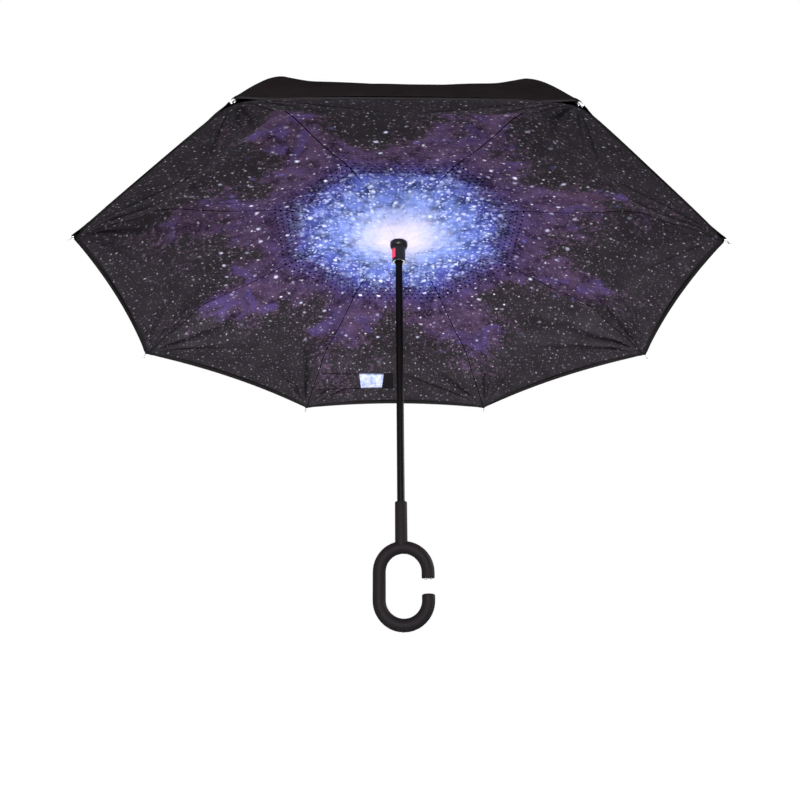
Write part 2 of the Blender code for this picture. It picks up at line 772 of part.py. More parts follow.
def arm_mesh():
    """The rib's channel in the rib's frame: an eye, a fluted bar and the rod's socket."""
    tilt = Matrix.Rotation(-ARM_OPEN_ANGLE, 4, "Y")
    half = ARM_HEIGHT / 2
    angle = math.asin(half / ARM_EYE_RADIUS)
    outline = arc((0, 0), ARM_EYE_RADIUS, angle, 2 * math.pi - angle, EYE_STEPS)
    outline += [(ARM_LENGTH, -half), (ARM_LENGTH, half)]
    bar = plate("bar", outline, -ARM_WIDTH / 2, ARM_WIDTH / 2)
    socket = box(
        "socket",
        (ARM_LENGTH - SOCKET_BACK, -SOCKET_WIDTH / 2, -SOCKET_HEIGHT / 2),
        (ARM_LENGTH + SOCKET_FRONT, SOCKET_WIDTH / 2, SOCKET_HEIGHT / 2),
    )
    flute = box(
        "flute",
        (CHANNEL_START, -CHANNEL_WIDTH / 2, -half - OVERRUN),
        (ARM_LENGTH - SOCKET_BACK - CHANNEL_DEPTH, CHANNEL_WIDTH / 2, -half + CHANNEL_DEPTH),
    )
    hole = round_bar("hole", ARM_EYE_HOLE, (0, -ARM_WIDTH, 0), (0, ARM_WIDTH, 0))
    bore = round_bar(
        "bore",
        ROD_RADIUS + SEAT_GAP,
        (ARM_LENGTH + SOCKET_FLOOR, 0, 0),
        (ARM_LENGTH + SOCKET_FRONT + OVERRUN, 0, 0),
    )
    mesh = combined("rib_arm", bar, unions=[socket], cuts=[flute, hole, bore])
    mesh.transform(tilt)
    return mesh


def rod_mesh():
    """The sprung rod in the rib's frame, seated in the arm's socket."""
    start = (SOCKET_FLOOR + SEAT_GAP) / (RIB_LENGTH - ARM_LENGTH)
    ts = [start + (1 - start) * k / ROD_STEPS for k in range(ROD_STEPS + 1)]
    return swept("rib_rod", [tuple(rod_point(t)) for t in ts], ROD_RADIUS, ROD_SIDES)


def ferrule_mesh():
    """The tip's ferrule in the rib's frame: a sleeve over the rod, a pin and a ball."""
    bore = ROD_RADIUS + SEAT_GAP
    ball = FERRULE_PIN_LENGTH
    neck_turn = math.asin(FERRULE_PIN_RADIUS / FERRULE_BALL_RADIUS)
    centre = ball + FERRULE_BALL_RADIUS * math.cos(neck_turn)
    turns = [
        neck_turn + (math.pi - neck_turn) * k / BALL_STEPS for k in range(1, BALL_STEPS)
    ]
    profile = [
        (0.0, SEAT_GAP),
        (bore, SEAT_GAP),
        (bore, -FERRULE_INSIDE),
        (FERRULE_RADIUS, -FERRULE_INSIDE),
        (FERRULE_RADIUS, SEAT_GAP),
        (FERRULE_PIN_RADIUS, FERRULE_EDGE + SEAT_GAP),
        (FERRULE_PIN_RADIUS, ball),
        *[
            (FERRULE_BALL_RADIUS * math.sin(t), centre - FERRULE_BALL_RADIUS * math.cos(t))
            for t in turns
        ],
        (0.0, centre + FERRULE_BALL_RADIUS),
    ]
    mesh = turned("rib_tip", profile, FERRULE_SIDES)
    end, before = rod_point(1.0), rod_point(1 - FERRULE_INSIDE / (2 * RIB_LENGTH))
    way = Vector((end.x - before.x, 0, end.y - before.y))
    turn = way.to_track_quat("Z", "Y").to_matrix().to_4x4()
    mesh.transform(Matrix.Translation((end.x, 0, end.y)) @ turn)
    return mesh


def stretcher_mesh():
    """A stretcher in its own frame, whose origin is its pivot on the notch."""
    joint = arm_joint()
    reach = Vector((joint.x, joint.y - PIVOT_RISE))
    length = reach.length
    half = STRETCHER_HEIGHT / 2
    angle = math.asin(half / STRETCHER_EYE_RADIUS)
    outline = arc((0, 0), STRETCHER_EYE_RADIUS, angle, 2 * math.pi - angle, EYE_STEPS)
    outline += arc(
        (length, 0), STRETCHER_EYE_RADIUS, math.pi + angle, 3 * math.pi - angle, EYE_STEPS
    )
    low = STRETCHER_OFFSET - STRETCHER_THICKNESS / 2
    high = STRETCHER_OFFSET + STRETCHER_THICKNESS / 2
    bar = plate("bar", outline, low, high)
    hole = round_bar(
        "hole", STRETCHER_EYE_HOLE, (0, low - OVERRUN, 0), (0, high + OVERRUN, 0)
    )
    rivet = round_bar(
        "rivet", RIVET_RADIUS, (length, (low + high) / 2, 0), (length, high + RIVET_HEIGHT, 0)
    )
    mesh = combined("stretcher_bar", bar, unions=[rivet], cuts=[hole])
    mesh.transform(Matrix.Rotation(-math.atan2(reach.y, reach.x), 4, "Y"))
    return mesh


def strap_mesh():
    """The tie strap, flat on the inner canopy from its rib to the middle of the panel."""
    rows = inner_rows()
    shares = [row[0] for row in INNER_ROW_SHARES]
    lines = []
    for share in STRAP_ROW_SHARES:
        n = next(k for k in range(len(shares) - 1) if share <= shares[k + 1])
        blend = (share - shares[n]) / (shares[n + 1] - shares[n])
        lines.append([a + (b - a) * blend for a, b in zip(rows[n + 1], rows[n + 2])])
    drop = Vector((0, 0, CLOTH / 2 + SEAT_GAP + STRAP_THICKNESS))
    bm = bmesh.new()
    bmesh.ops.create_grid(
        bm, x_segments=STRAP_STEPS, y_segments=2, size=1.0, calc_uvs=False
    )
    for vert in bm.verts:
        along = (vert.co.x + 1) / 2
        across = STRAP_START_SHARE + (STRAP_END_SHARE - STRAP_START_SHARE) * along
        line = lines[round(1 - vert.co.y)]
        vert.co = cloth_point(line, across, -1) - drop - Vector((PIVOT_RADIUS, 0, RIB_PIVOT))
    return thickened(bm, "tie_strap", STRAP_THICKNESS)


def make_ribs(steel, fibre, bright, print_cloth, black_cloth):
    """Eight ribs on the runner and eight stretchers on the notch, with their cloth."""
    arm, rod, ferrule, bar = arm_mesh(), rod_mesh(), ferrule_mesh(), stretcher_mesh()
    inner, outer = gore("inner_gore", inner_rows()), gore("outer_gore", outer_rows())
    for n in range(1, RIBS + 1):
        turn = FIRST_RIB + 2 * HALF_GORE * (n - 1)
        pivot = (PIVOT_RADIUS * math.cos(turn), PIVOT_RADIUS * math.sin(turn))
        joint = bpy.data.objects.new(f"rib_joint_{n}", None)
        joint.location, joint.rotation_euler.z = (*pivot, RIB_PIVOT), turn
        notch_joint = bpy.data.objects.new(f"stretcher_joint_{n}", None)
        notch_joint.location, notch_joint.rotation_euler.z = (*pivot, NOTCH_PIVOT), turn
        for empty in (joint, notch_joint):
            bpy.context.collection.objects.link(empty)
        place(f"rib_arm_{n}", arm, steel, joint)
        place(f"rib_rod_{n}", rod, fibre, joint)
        place(f"rib_tip_{n}", ferrule, bright, joint)
        place(f"inner_gore_{n}", inner, print_cloth, joint)
        place(f"outer_gore_{n}", outer, black_cloth, joint)
        place(f"stretcher_bar_{n}", bar, steel, notch_joint)
        if n == STRAP_RIB:
            place("tie_strap", strap_mesh(), black_cloth, joint)


def build_umbrella():
    """Makes every piece of the open umbrella."""
    clear_scene()
    grip = finish("soft_grip", (0.030, 0.026, 0.028), 0.62)
    black_steel = finish("black_steel", (0.012, 0.011, 0.012), 0.34, 0.6)
    black_plastic = finish("black_plastic", (0.014, 0.013, 0.014), 0.30)
    red_plastic = finish("red_plastic", (0.62, 0.03, 0.06), 0.35)
    bright_steel = finish("bright_steel", (0.78, 0.78, 0.80), 0.22, 1.0)
    black_fibre = finish("black_fibre", (0.016, 0.015, 0.016), 0.40)
    print_cloth = finish("print_cloth", (0.10, 0.08, 0.16), 0.70)
    black_cloth = finish("black_cloth", (0.012, 0.011, 0.012), 0.80)
    make_handle(grip)
    make_shaft(black_steel)
    make_runner(black_plastic)
    make_button(red_plastic)
    make_spring(bright_steel)
    make_hinges(black_plastic, bright_steel)
    make_cap(black_plastic)
    place("outer_canopy_crown", crown_sheet("outer_canopy_crown", crown_rows()), black_cloth)
    make_ribs(black_steel, black_fibre, bright_steel, print_cloth, black_cloth)


build_umbrella()
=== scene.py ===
# %% [markdown]
# # An inverted umbrella, dressed for its portrait
#
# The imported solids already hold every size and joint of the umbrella. This file gives it what the
# eye judges: printed cloth under tension, black pongee over it, painted steel, soft-touch plastic.
# Each piece is made where the solids say, so nothing has to be fitted afterwards.

import json
import math
from dataclasses import dataclass

import bmesh
import bpy
from mathutils import Matrix, Vector, noise
from mathutils.geometry import interpolate_bezier

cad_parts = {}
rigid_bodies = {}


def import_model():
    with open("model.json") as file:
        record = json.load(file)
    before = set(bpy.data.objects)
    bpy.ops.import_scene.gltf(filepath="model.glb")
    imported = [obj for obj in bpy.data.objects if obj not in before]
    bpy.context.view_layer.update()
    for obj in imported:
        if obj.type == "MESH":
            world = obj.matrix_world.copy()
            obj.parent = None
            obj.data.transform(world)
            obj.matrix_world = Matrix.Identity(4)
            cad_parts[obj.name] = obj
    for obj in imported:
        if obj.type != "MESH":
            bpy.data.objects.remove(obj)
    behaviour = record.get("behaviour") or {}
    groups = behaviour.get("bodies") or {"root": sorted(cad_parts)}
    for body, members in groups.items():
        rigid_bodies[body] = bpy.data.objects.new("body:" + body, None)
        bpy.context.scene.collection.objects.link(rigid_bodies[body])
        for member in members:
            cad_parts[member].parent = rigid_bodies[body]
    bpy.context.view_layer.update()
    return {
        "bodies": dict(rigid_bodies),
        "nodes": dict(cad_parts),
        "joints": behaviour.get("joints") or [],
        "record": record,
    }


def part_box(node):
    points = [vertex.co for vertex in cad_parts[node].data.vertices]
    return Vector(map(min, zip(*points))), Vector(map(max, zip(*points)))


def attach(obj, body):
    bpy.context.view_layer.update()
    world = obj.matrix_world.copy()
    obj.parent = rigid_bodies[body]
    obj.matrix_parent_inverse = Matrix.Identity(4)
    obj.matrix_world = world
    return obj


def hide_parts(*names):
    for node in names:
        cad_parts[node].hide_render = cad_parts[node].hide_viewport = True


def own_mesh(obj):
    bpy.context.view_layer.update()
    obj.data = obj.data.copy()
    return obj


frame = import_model()
nodes = frame["nodes"]
hinges = {joint["name"]: joint for joint in frame["joints"]}
print("solids:", len(nodes), "joints:", len(hinges))

# %% [markdown]
# ## The camera
#
# The photograph looks up under the canopy from below the hand loop. The camera's place and lens come
# from the eight rib tips, which are the corners of a regular octagon, so their picture fixes where it
# stood. A camera looks along its own -Z, and `aimed` builds that matrix for a camera or a lamp.

# %% Camera
PICTURE_PIXELS = 800
FOCAL_PIXELS = 814.5
SENSOR = 36.0
CAMERA_PLACE = Vector((-0.0292, -1.2459, -0.2017))
CAMERA_AIM = Vector((0.0216, 0.9266, 0.3754))
CAMERA_ROLL = math.radians(-0.485)


def aimed(place, aim, roll=0.0):
    """The world matrix of a camera or a lamp that looks along aim."""
    ahead = aim.normalized()
    right = ahead.cross(Vector((0, 0, 1))).normalized()
    up = right.cross(ahead)
    turned_right = math.cos(roll) * right + math.sin(roll) * up
    turned_up = math.cos(roll) * up - math.sin(roll) * right
    matrix = Matrix((turned_right, turned_up, -ahead)).transposed().to_4x4()
    matrix.translation = place
    return matrix


lens = bpy.data.cameras.new("portrait_lens")
lens.sensor_width = SENSOR
lens.lens = SENSOR * FOCAL_PIXELS / PICTURE_PIXELS
camera = bpy.data.objects.new("portrait_camera", lens)
camera.matrix_world = aimed(CAMERA_PLACE, CAMERA_AIM, CAMERA_ROLL)
bpy.context.collection.objects.link(camera)
bpy.context.scene.camera = camera
print("lens in mm:", round(lens.lens, 2))

# %% [markdown]
# ## A short way to write materials
#
# A material is a tree of nodes. Written out in full, each node takes several lines, so this class
# gives one short call for each kind that the umbrella needs. A number in a call is set on the
# node's socket, and another node's output is linked to it.

# %% A small material writer


class Finish:
    """One material, with short calls that add nodes to it."""

    def __init__(self, name, color, roughness, specular=0.5, metallic=0.0):
        self.material = bpy.data.materials.new(name)
        self.material.use_nodes = True
        self.tree = self.material.node_tree
        self.shader = self.tree.nodes["Principled BSDF"]
        self.feed(self.shader.inputs["Base Color"], (*color, 1.0))
        self.feed(self.shader.inputs["Roughness"], roughness)
        self.feed(self.shader.inputs["Specular IOR Level"], specular)
        self.feed(self.shader.inputs["Metallic"], metallic)

    def feed(self, socket, value):
        """Links another node's output to a socket, or sets the socket's own value."""
        if isinstance(value, bpy.types.NodeSocket):
            self.tree.links.new(value, socket)
        else:
            socket.default_value = value

    def node(self, kind, sockets, **settings):
        """Adds a node, sets it up and feeds its sockets."""
        made = self.tree.nodes.new("ShaderNode" + kind)
        for name, value in settings.items():
            setattr(made, name, value)
        for name, value in sockets.items():
            self.feed(made.inputs[name], value)
        return made

    def place(self):
        """Coordinates in metres that stay on the piece."""
        return self.node("TexCoord", {}).outputs["Object"]

    def map(self, name):
        """A UV map of the piece, by name."""
        return self.node("UVMap", {}, uv_map=name).outputs["UV"]

    def math(self, operation, first, second=0.0, third=0.0, clamp=False):
        """One step of arithmetic."""
        sockets = {0: first, 1: second, 2: third}
        return self.node("Math", sockets, operation=operation, use_clamp=clamp).outputs[0]

    def times(self, first, *others):
        """Values multiplied together."""
        for other in others:
            first = self.math("MULTIPLY", first, other)
        return first

    def split(self, vector):
        """The X and the Y of a vector."""
        return self.node("SeparateXYZ", {"Vector": vector}).outputs[:2]

    def spread(self, value, start, stop, first=0.0, last=1.0, way="LINEAR"):
        """Runs from first to last while a value goes from start to stop, and stays there beyond."""
        sockets = {"Value": value, "From Min": start, "From Max": stop, "To Min": first, "To Max": last}
        return self.node("MapRange", sockets, interpolation_type=way).outputs[0]

    def noise(self, place, scale, detail=3.0, roughness=0.55, distortion=0.0, dimensions="2D"):
        """Soft cloudy noise from 0 to 1."""
        sockets = {"Vector": place, "Scale": scale, "Detail": detail, "Roughness": roughness}
        sockets["Distortion"] = distortion
        return self.node("TexNoise", sockets, noise_dimensions=dimensions).outputs[0]

    def ramp(self, factor, stops):
        """Colours or grey levels along a factor, as (place, colour) pairs."""
        made = self.node("ValToRGB", {"Fac": factor})
        points = made.color_ramp.elements
        while len(points) < len(stops):
            points.new(1.0)
        for point, (place, color) in zip(points, stops):
            point.position = place
            point.color = (*color, 1.0) if hasattr(color, "__len__") else (color, color, color, 1.0)
        return made.outputs["Color"]

    def mix(self, factor, first, second, blend="MIX"):
        """Two colours mixed by a factor."""
        made = self.node("Mix", {}, data_type="RGBA", blend_type=blend)
        for socket, value in zip((0, 6, 7), (factor, first, second)):
            if hasattr(value, "__len__") and not isinstance(value, bpy.types.NodeSocket):
                value = (*value, 1.0)
            self.feed(made.inputs[socket], value)
        return made.outputs[2]

    def bump(self, height, depth, strength=1.0, below=None):
        """Relief of a real depth in metres, on top of what is already there."""
        sockets = {"Height": height, "Distance": depth, "Strength": strength}
        if below is not None:
            sockets["Normal"] = below
        return self.node("Bump", sockets).outputs["Normal"]

    def done(self, color=None, roughness=None, normal=None):
        """Feeds the shader and returns the material."""
        for name, value in (("Base Color", color), ("Roughness", roughness), ("Normal", normal)):
            if value is not None:
                self.feed(self.shader.inputs[name], value)
        return self.material


print("material writer ready")

# %% [markdown]
# ## Studio
#
# A wide floor lies well below the camera, which looks up from near the ground. It glows a little,
# which fills the underside of the canopy with even light, and it is grey, so that it doesn't throw
# too much of the lamps' light back up. A Light Path node tells the camera's rays from all others:
# the camera sees the floor and the world as plain white, and the scene gets softer light from them.
# A strong lamp low in front lights the far panels most, as in the photograph. Weaker ones stand
# behind, above and to one side. Each lamp has a place, a target, a size in metres and a power in
# watts.

# %% Floor, world and lamps
FLOOR_HEIGHT = -0.46
FLOOR_SIZE = 30.0
FLOOR_COLOR = (0.24, 0.24, 0.24)
FLOOR_GLOW = 0.21
WORLD_LIGHT = 0.24
LAMPS = (
    ("front_softbox", (-0.3, -2.8, -0.30), (0, 0.2, 0.6), 1.0, 345),
    ("back_softbox", (0.2, 2.4, -0.30), (0, 0, 0.6), 1.0, 165),
    ("top_softbox", (-0.9, 0.3, 2.8), (0, 0, 0.5), 2.0, 170),
    ("side_softbox", (2.7, 0.7, 1.4), (0, 0, 0.5), 1.4, 130),
)


def new_object(bm, name, materials):
    """Turns a bmesh into an object of the scene, with its materials."""
    mesh = bpy.data.meshes.new(name)
    bm.to_mesh(mesh)
    bm.free()
    for material in materials:
        mesh.materials.append(material)
    made = bpy.data.objects.new(name, mesh)
    bpy.context.collection.objects.link(made)
    return made


def studio_floor():
    """A grey floor that glows a little and is white to the camera."""
    bm = bmesh.new()
    bmesh.ops.create_grid(bm, x_segments=1, y_segments=1, size=FLOOR_SIZE / 2)
    bmesh.ops.translate(bm, verts=bm.verts, vec=(0, 0, FLOOR_HEIGHT))
    finish = Finish("studio_grey", FLOOR_COLOR, 0.9, specular=0.1)
    finish.feed(finish.shader.inputs["Emission Color"], (1.0, 1.0, 1.0, 1.0))
    seen = finish.node("LightPath", {}).outputs["Is Camera Ray"]
    finish.feed(finish.shader.inputs["Emission Strength"], finish.spread(seen, 0.0, 1.0, FLOOR_GLOW, 1.0))
    floor = new_object(bm, "studio_floor", [finish.material])


def studio_world():
    """White to camera, glossy and transmission rays, softer to the rest."""
    world = bpy.data.worlds.new("studio_world")
    world.use_nodes = True
    tree = world.node_tree
    background = tree.nodes["Background"]
    background.inputs["Color"].default_value = (1.0, 1.0, 1.0, 1.0)
    path = tree.nodes.new("ShaderNodeLightPath")
    seen = path.outputs["Is Camera Ray"]
    for ray in ("Is Glossy Ray", "Is Transmission Ray"):
        either = tree.nodes.new("ShaderNodeMath")
        either.operation = "MAXIMUM"
        tree.links.new(seen, either.inputs[0])
        tree.links.new(path.outputs[ray], either.inputs[1])
        seen = either.outputs[0]
    strength = tree.nodes.new("ShaderNodeMapRange")
    strength.inputs["To Min"].default_value = WORLD_LIGHT
    strength.inputs["To Max"].default_value = 1.0
    tree.links.new(seen, strength.inputs["Value"])
    tree.links.new(strength.outputs[0], background.inputs["Strength"])
    bpy.context.scene.world = world


def soft_lamp(name, place, target, size, power):
    """A square softbox that looks at a target and isn't seen by the camera."""
    light = bpy.data.lights.new(name, "AREA")
    light.shape = "SQUARE"
    light.size = size
    light.energy = power
    lamp = bpy.data.objects.new(name, light)
    lamp.matrix_world = aimed(Vector(place), Vector(target) - Vector(place))
    lamp.visible_camera = False
    bpy.context.collection.objects.link(lamp)


studio_floor()
studio_world()
for lamp_settings in LAMPS:
    soft_lamp(*lamp_settings)
bpy.context.scene.view_settings.view_transform = "Standard"
print("floor at", FLOOR_HEIGHT, "m, lamps:", len(LAMPS))

# %% [markdown]
# ## The print
#
# The inner canopy is a printed polyester: a pale violet core that turns blue, then indigo, then a
# dark field with purple clouds and many stars. The cloth carries two UV maps in metres. One, called
# `cloth`, is the canopy unrolled flat. The other, `seam`, holds the distance from the rib and the
# distance from the rim. The bands of colour follow the distance from the rim, so they run along its
# eight straight sides, and noise pushes them in and out. The dark field and its bluish streaks follow
# the unrolled map, and the stars are Voronoi cells of a few sizes. Places in the print are shares of
# `PRINT_REACH`, and `CANOPY_RUN` is the way along the cloth from the shaft's axis to the rim.

# %% Nebula print
PRINT_REACH = 0.62
CANOPY_RUN = 0.5666
HEM_WIDTH = 0.0060
HEM_COLOR = (0.012, 0.011, 0.012)
SEAM_SPAN = 0.008
# Colour factors across a seam, by distance from the rib as a share of SEAM_SPAN: a dark line that is part
# thread and part painted shade, then a painted highlight, then a band of painted shade.
SEAM_LINE_PAINTED_HIGHLIGHT_AND_SHADE = ((0.0, 0.10), (0.13, 0.15), (0.19, 1.45), (0.30, 1.20), (0.38, 0.70), (0.46, 1.0))
SEAM_HEIGHTS = ((0.0, 0.0), (0.10, 1.0), (0.52, 1.0), (0.60, 0.3))
SEAM_FADE = (0.38, 0.43)
STITCH_LINE = 0.0034
STITCH_HALF_WIDTH = 0.0003
STITCH_PITCH = 0.0032
STITCH_SHARE = 0.6
DART_LENGTH = 0.090
DART_SLOPE = math.tan(math.radians(14.0))
DART_HALF_WIDTH = 0.0005
DART_COLOR = (0.006, 0.005, 0.006)
WEAVE_SCALE = 420.0
CLOTH_RELIEF = 0.0003
SLACK_RELIEF = 0.0060
CREASE_RELIEF = 0.0100
CREASE_RATE = 13.0
WARP_SCALE = 90.0
WARP_REACH = 0.0035
WHITE = (1.0, 1.0, 1.0)

# The colours of the bands, by their share of PRINT_REACH.
PRINT_BANDS = (
    (0.00, (0.78, 0.71, 0.88)), (0.06, (0.70, 0.65, 0.88)), (0.12, (0.38, 0.44, 0.80)),
    (0.17, (0.18, 0.25, 0.63)), (0.235, (0.090, 0.130, 0.45)), (0.300, (0.048, 0.050, 0.24)),
    (0.325, (0.044, 0.034, 0.135)), (0.37, (0.046, 0.029, 0.090)), (0.44, (0.052, 0.031, 0.071)),
    (0.60, (0.046, 0.027, 0.055)), (1.00, (0.034, 0.025, 0.038)),
)

# Each kind of star: cells to the metre, radius in metres, share of the cells, and the share of the
# radius that is fully bright.
STAR_KINDS = {
    "glow": (34.0, 0.0150, 0.70, 0.0),
    "blob": (80.0, 0.0066, 0.50, 0.0),
    "bead": (150.0, 0.0034, 0.55, 0.0),
    "small": (66.0, 0.0022, 0.75, 0.15),
    "dust": (135.0, 0.0013, 0.65, 0.2),
    "halo": (24.0, 0.0072, 0.55, 0.0),
    "bright": (24.0, 0.0048, 0.40, 0.2),
    "light": (41.0, 0.0030, 0.45, 0.2),
}


def stars(finish, place, kind):
    """Dots of one kind in a share of the Voronoi cells, each with its own brightness."""
    scale, size, share, core = STAR_KINDS[kind]
    cells = finish.node("TexVoronoi", {"Vector": place, "Scale": scale}, feature="F1",
                        voronoi_dimensions="2D")
    distance = cells.outputs["Distance"]
    edge = finish.spread(distance, size * scale * core, size * scale, 1.0, 0.0, "SMOOTHSTEP")
    parts = finish.node("SeparateColor", {"Color": cells.outputs["Color"]})
    chosen = finish.math("LESS_THAN", parts.outputs[0], share)
    bright = finish.math("MULTIPLY_ADD", finish.math("POWER", parts.outputs[1], 2.2), 0.82, 0.18)
    return finish.times(edge, chosen, bright)


def warped(finish, place):
    """The map pushed about by noise, so that dots and clouds come out uneven."""
    drift = finish.node("TexNoise", {"Vector": place, "Scale": WARP_SCALE, "Detail": 3.0},
                        noise_dimensions="2D").outputs["Color"]
    centred = finish.node("VectorMath", {0: drift, 1: (0.5, 0.5, 0.5)}, operation="SUBTRACT")
    offset = finish.node("VectorMath", {0: centred.outputs[0], "Scale": 2 * WARP_REACH},
                         operation="SCALE")
    moved = finish.node("VectorMath", {0: place, 1: offset.outputs[0]}, operation="ADD")
    return moved.outputs[0]


def panel_details(finish, color, height):
    """Seams along the ribs, a dart beside each tip and a bound hem, from the seam map.

    Each seam's dark line is part thread and part painted shade, with a painted highlight and a band
    of painted shade beside it.
    """
    sideways, inward = finish.split(finish.map("seam"))
    aside = finish.math("ABSOLUTE", sideways)
    beside = finish.math("DIVIDE", aside, SEAM_SPAN)
    # Painted light across the seam: a dark line, part thread and part painted shade, a painted highlight and
    # a band of painted shade, mostly faded out towards the hub.
    fold = finish.ramp(beside, SEAM_LINE_PAINTED_HIGHLIGHT_AND_SHADE)
    fold = finish.mix(finish.spread(inward, *SEAM_FADE), fold, finish.mix(0.85, fold, WHITE))
    seamed = finish.mix(1.0, color, fold, "MULTIPLY")
    hem = finish.math("LESS_THAN", inward, HEM_WIDTH)
    hemmed = finish.mix(hem, seamed, HEM_COLOR)
    pitch = finish.math("FRACT", finish.math("DIVIDE", inward, STITCH_PITCH))
    dash = finish.math("LESS_THAN", pitch, STITCH_SHARE)
    line = finish.math("COMPARE", aside, STITCH_LINE, STITCH_HALF_WIDTH)
    thread = finish.times(dash, line)
    dart = finish.math("COMPARE", aside, finish.times(inward, DART_SLOPE), DART_HALF_WIDTH)
    dart = finish.times(dart, finish.math("LESS_THAN", inward, DART_LENGTH), 0.45)
    colored = finish.mix(dart, hemmed, DART_COLOR)
    raised = finish.math("ADD", height, finish.ramp(beside, SEAM_HEIGHTS))
    relief = finish.math("ADD", raised, finish.times(hem, 1.2))
    return colored, finish.math("SUBTRACT", relief, finish.times(thread, 0.5))


def creases(finish, below):
    """Creases that fan out from each tip over the cloth, as relief on top of what is below."""
    seam = finish.map("seam")
    sideways, inward = finish.split(seam)
    aside = finish.math("ABSOLUTE", sideways)
    bearing = finish.math("ARCTAN2", aside, finish.math("MAXIMUM", inward, 0.004))
    reach = finish.node("VectorMath", {0: seam}, operation="LENGTH").outputs["Value"]
    wander = finish.noise(finish.map("cloth"), 5.0, 2.0, 0.4)
    turn = finish.math("MULTIPLY_ADD", wander, 5.0, finish.times(bearing, CREASE_RATE))
    wave = finish.math("POWER", finish.math("MULTIPLY_ADD", finish.math("SINE", turn), 0.5, 0.5), 1.6)
    near = finish.ramp(reach, [(0.02, 0.0), (0.05, 1.0), (0.12, 0.7), (0.27, 0.0)])
    open_cloth = finish.ramp(bearing, [(0.10, 0.0), (0.22, 1.0), (0.95, 0.6), (1.25, 0.0)])
    return finish.bump(finish.times(wave, near, open_cloth), CREASE_RELIEF, 1.0, below)


def weave(finish):
    """The plain weave of pongee, as a height from 0 to 1."""
    sockets = {"Vector": finish.map("seam"), "Scale": WEAVE_SCALE}
    threads = [finish.node("TexWave", sockets, bands_direction=way).outputs[1] for way in "XY"]
    return finish.times(*threads)


def nebula_color(finish):
    """The colours of the print, from the core to the rim, with its stars."""
    flat = finish.map("cloth")
    far = finish.node("VectorMath", {0: flat}, operation="LENGTH").outputs["Value"]
    place = warped(finish, flat)
    broad = finish.noise(place, 7.0, 5.0, 0.6)
    fine = finish.noise(place, 30.0, 6.0, 0.7)
    push = finish.times(finish.math("SUBTRACT", broad, 0.5), 0.06)
    ripple = finish.times(finish.math("SUBTRACT", fine, 0.5), 0.06)
    inward = finish.split(finish.map("seam"))[1]
    outward = finish.math("SUBTRACT", CANOPY_RUN, inward)
    pushed = finish.math("ADD", outward, finish.math("ADD", push, ripple))
    run = finish.math("DIVIDE", pushed, PRINT_REACH, clamp=True)
    base = finish.ramp(run, PRINT_BANDS)
    shade = finish.ramp(finish.noise(place, 26.0, 7.0, 0.7), [(0.36, 0.35), (0.50, 0.95), (0.66, 1.40)])
    base = finish.mix(finish.ramp(run, [(0.05, 0.0), (0.17, 1.0)]), base, shade, "MULTIPLY")
    dust = finish.ramp(finish.noise(place, 75.0, 8.0, 0.8), [(0.54, 0.0), (0.64, 0.45)])
    dusty = finish.ramp(run, [(0.34, 0.0), (0.44, 0.7)])
    base = finish.mix(finish.times(dust, dusty), base, (0.15, 0.095, 0.16))
    dark = finish.mix(finish.noise(place, 24.0), (0.0125, 0.0112, 0.0134), (0.0275, 0.0235, 0.0285))
    lobes, ragged = dark_clouds(finish, place, far)
    color = finish.mix(lobes, indigo_streaks(finish, place, far, base), dark)
    speckle = finish.ramp(finish.noise(place, 100.0, 3.0, 0.7), [(0.52, 0.0), (0.66, 0.55)])
    color = finish.mix(finish.times(speckle, ragged), color, (0.12, 0.070, 0.12))
    return star_field(finish, place, outward, color)


def dark_clouds(finish, place, far):
    """Where the dark field lies, one lobe to a panel between eight purple arms, and its ragged border."""
    east, north = finish.split(place)
    angle = finish.math("ARCTAN2", north, east)
    arms = finish.math("COSINE", finish.math("MULTIPLY_ADD", angle, 8.0, 0.7))
    cloud = finish.math("SUBTRACT", finish.noise(place, 9.0, 12.0, 0.66, 0.3), 0.5)
    depth = finish.math("MULTIPLY_ADD", far, 7.5, -2.15)
    depth = finish.math("ADD", depth, finish.times(cloud, 4.2))
    depth = finish.math("MULTIPLY_ADD", arms, 0.62, depth)
    lobes = finish.spread(depth, 0.0, 0.50, way="SMOOTHSTEP")
    clear = finish.spread(far, 0.220, 0.255)
    border = finish.ramp(depth, [(0.0, 0.3), (0.30, 1.0), (0.75, 0.5), (1.0, 0.0)])
    return finish.times(lobes, clear), finish.times(border, clear)


def indigo_streaks(finish, place, far, color):
    """A few drawn-out clouds of bluish purple about midway to the rim."""
    streak = finish.noise(place, 13.0, 5.0, 0.6, 1.2)
    share = finish.math("DIVIDE", far, PRINT_REACH)
    zone = finish.ramp(share, [(0.40, 0.0), (0.50, 1.0), (0.66, 1.0), (0.80, 0.0)])
    indigo = finish.times(finish.ramp(streak, [(0.48, 0.0), (0.68, 0.85)]), zone)
    return finish.mix(indigo, color, (0.062, 0.042, 0.150))


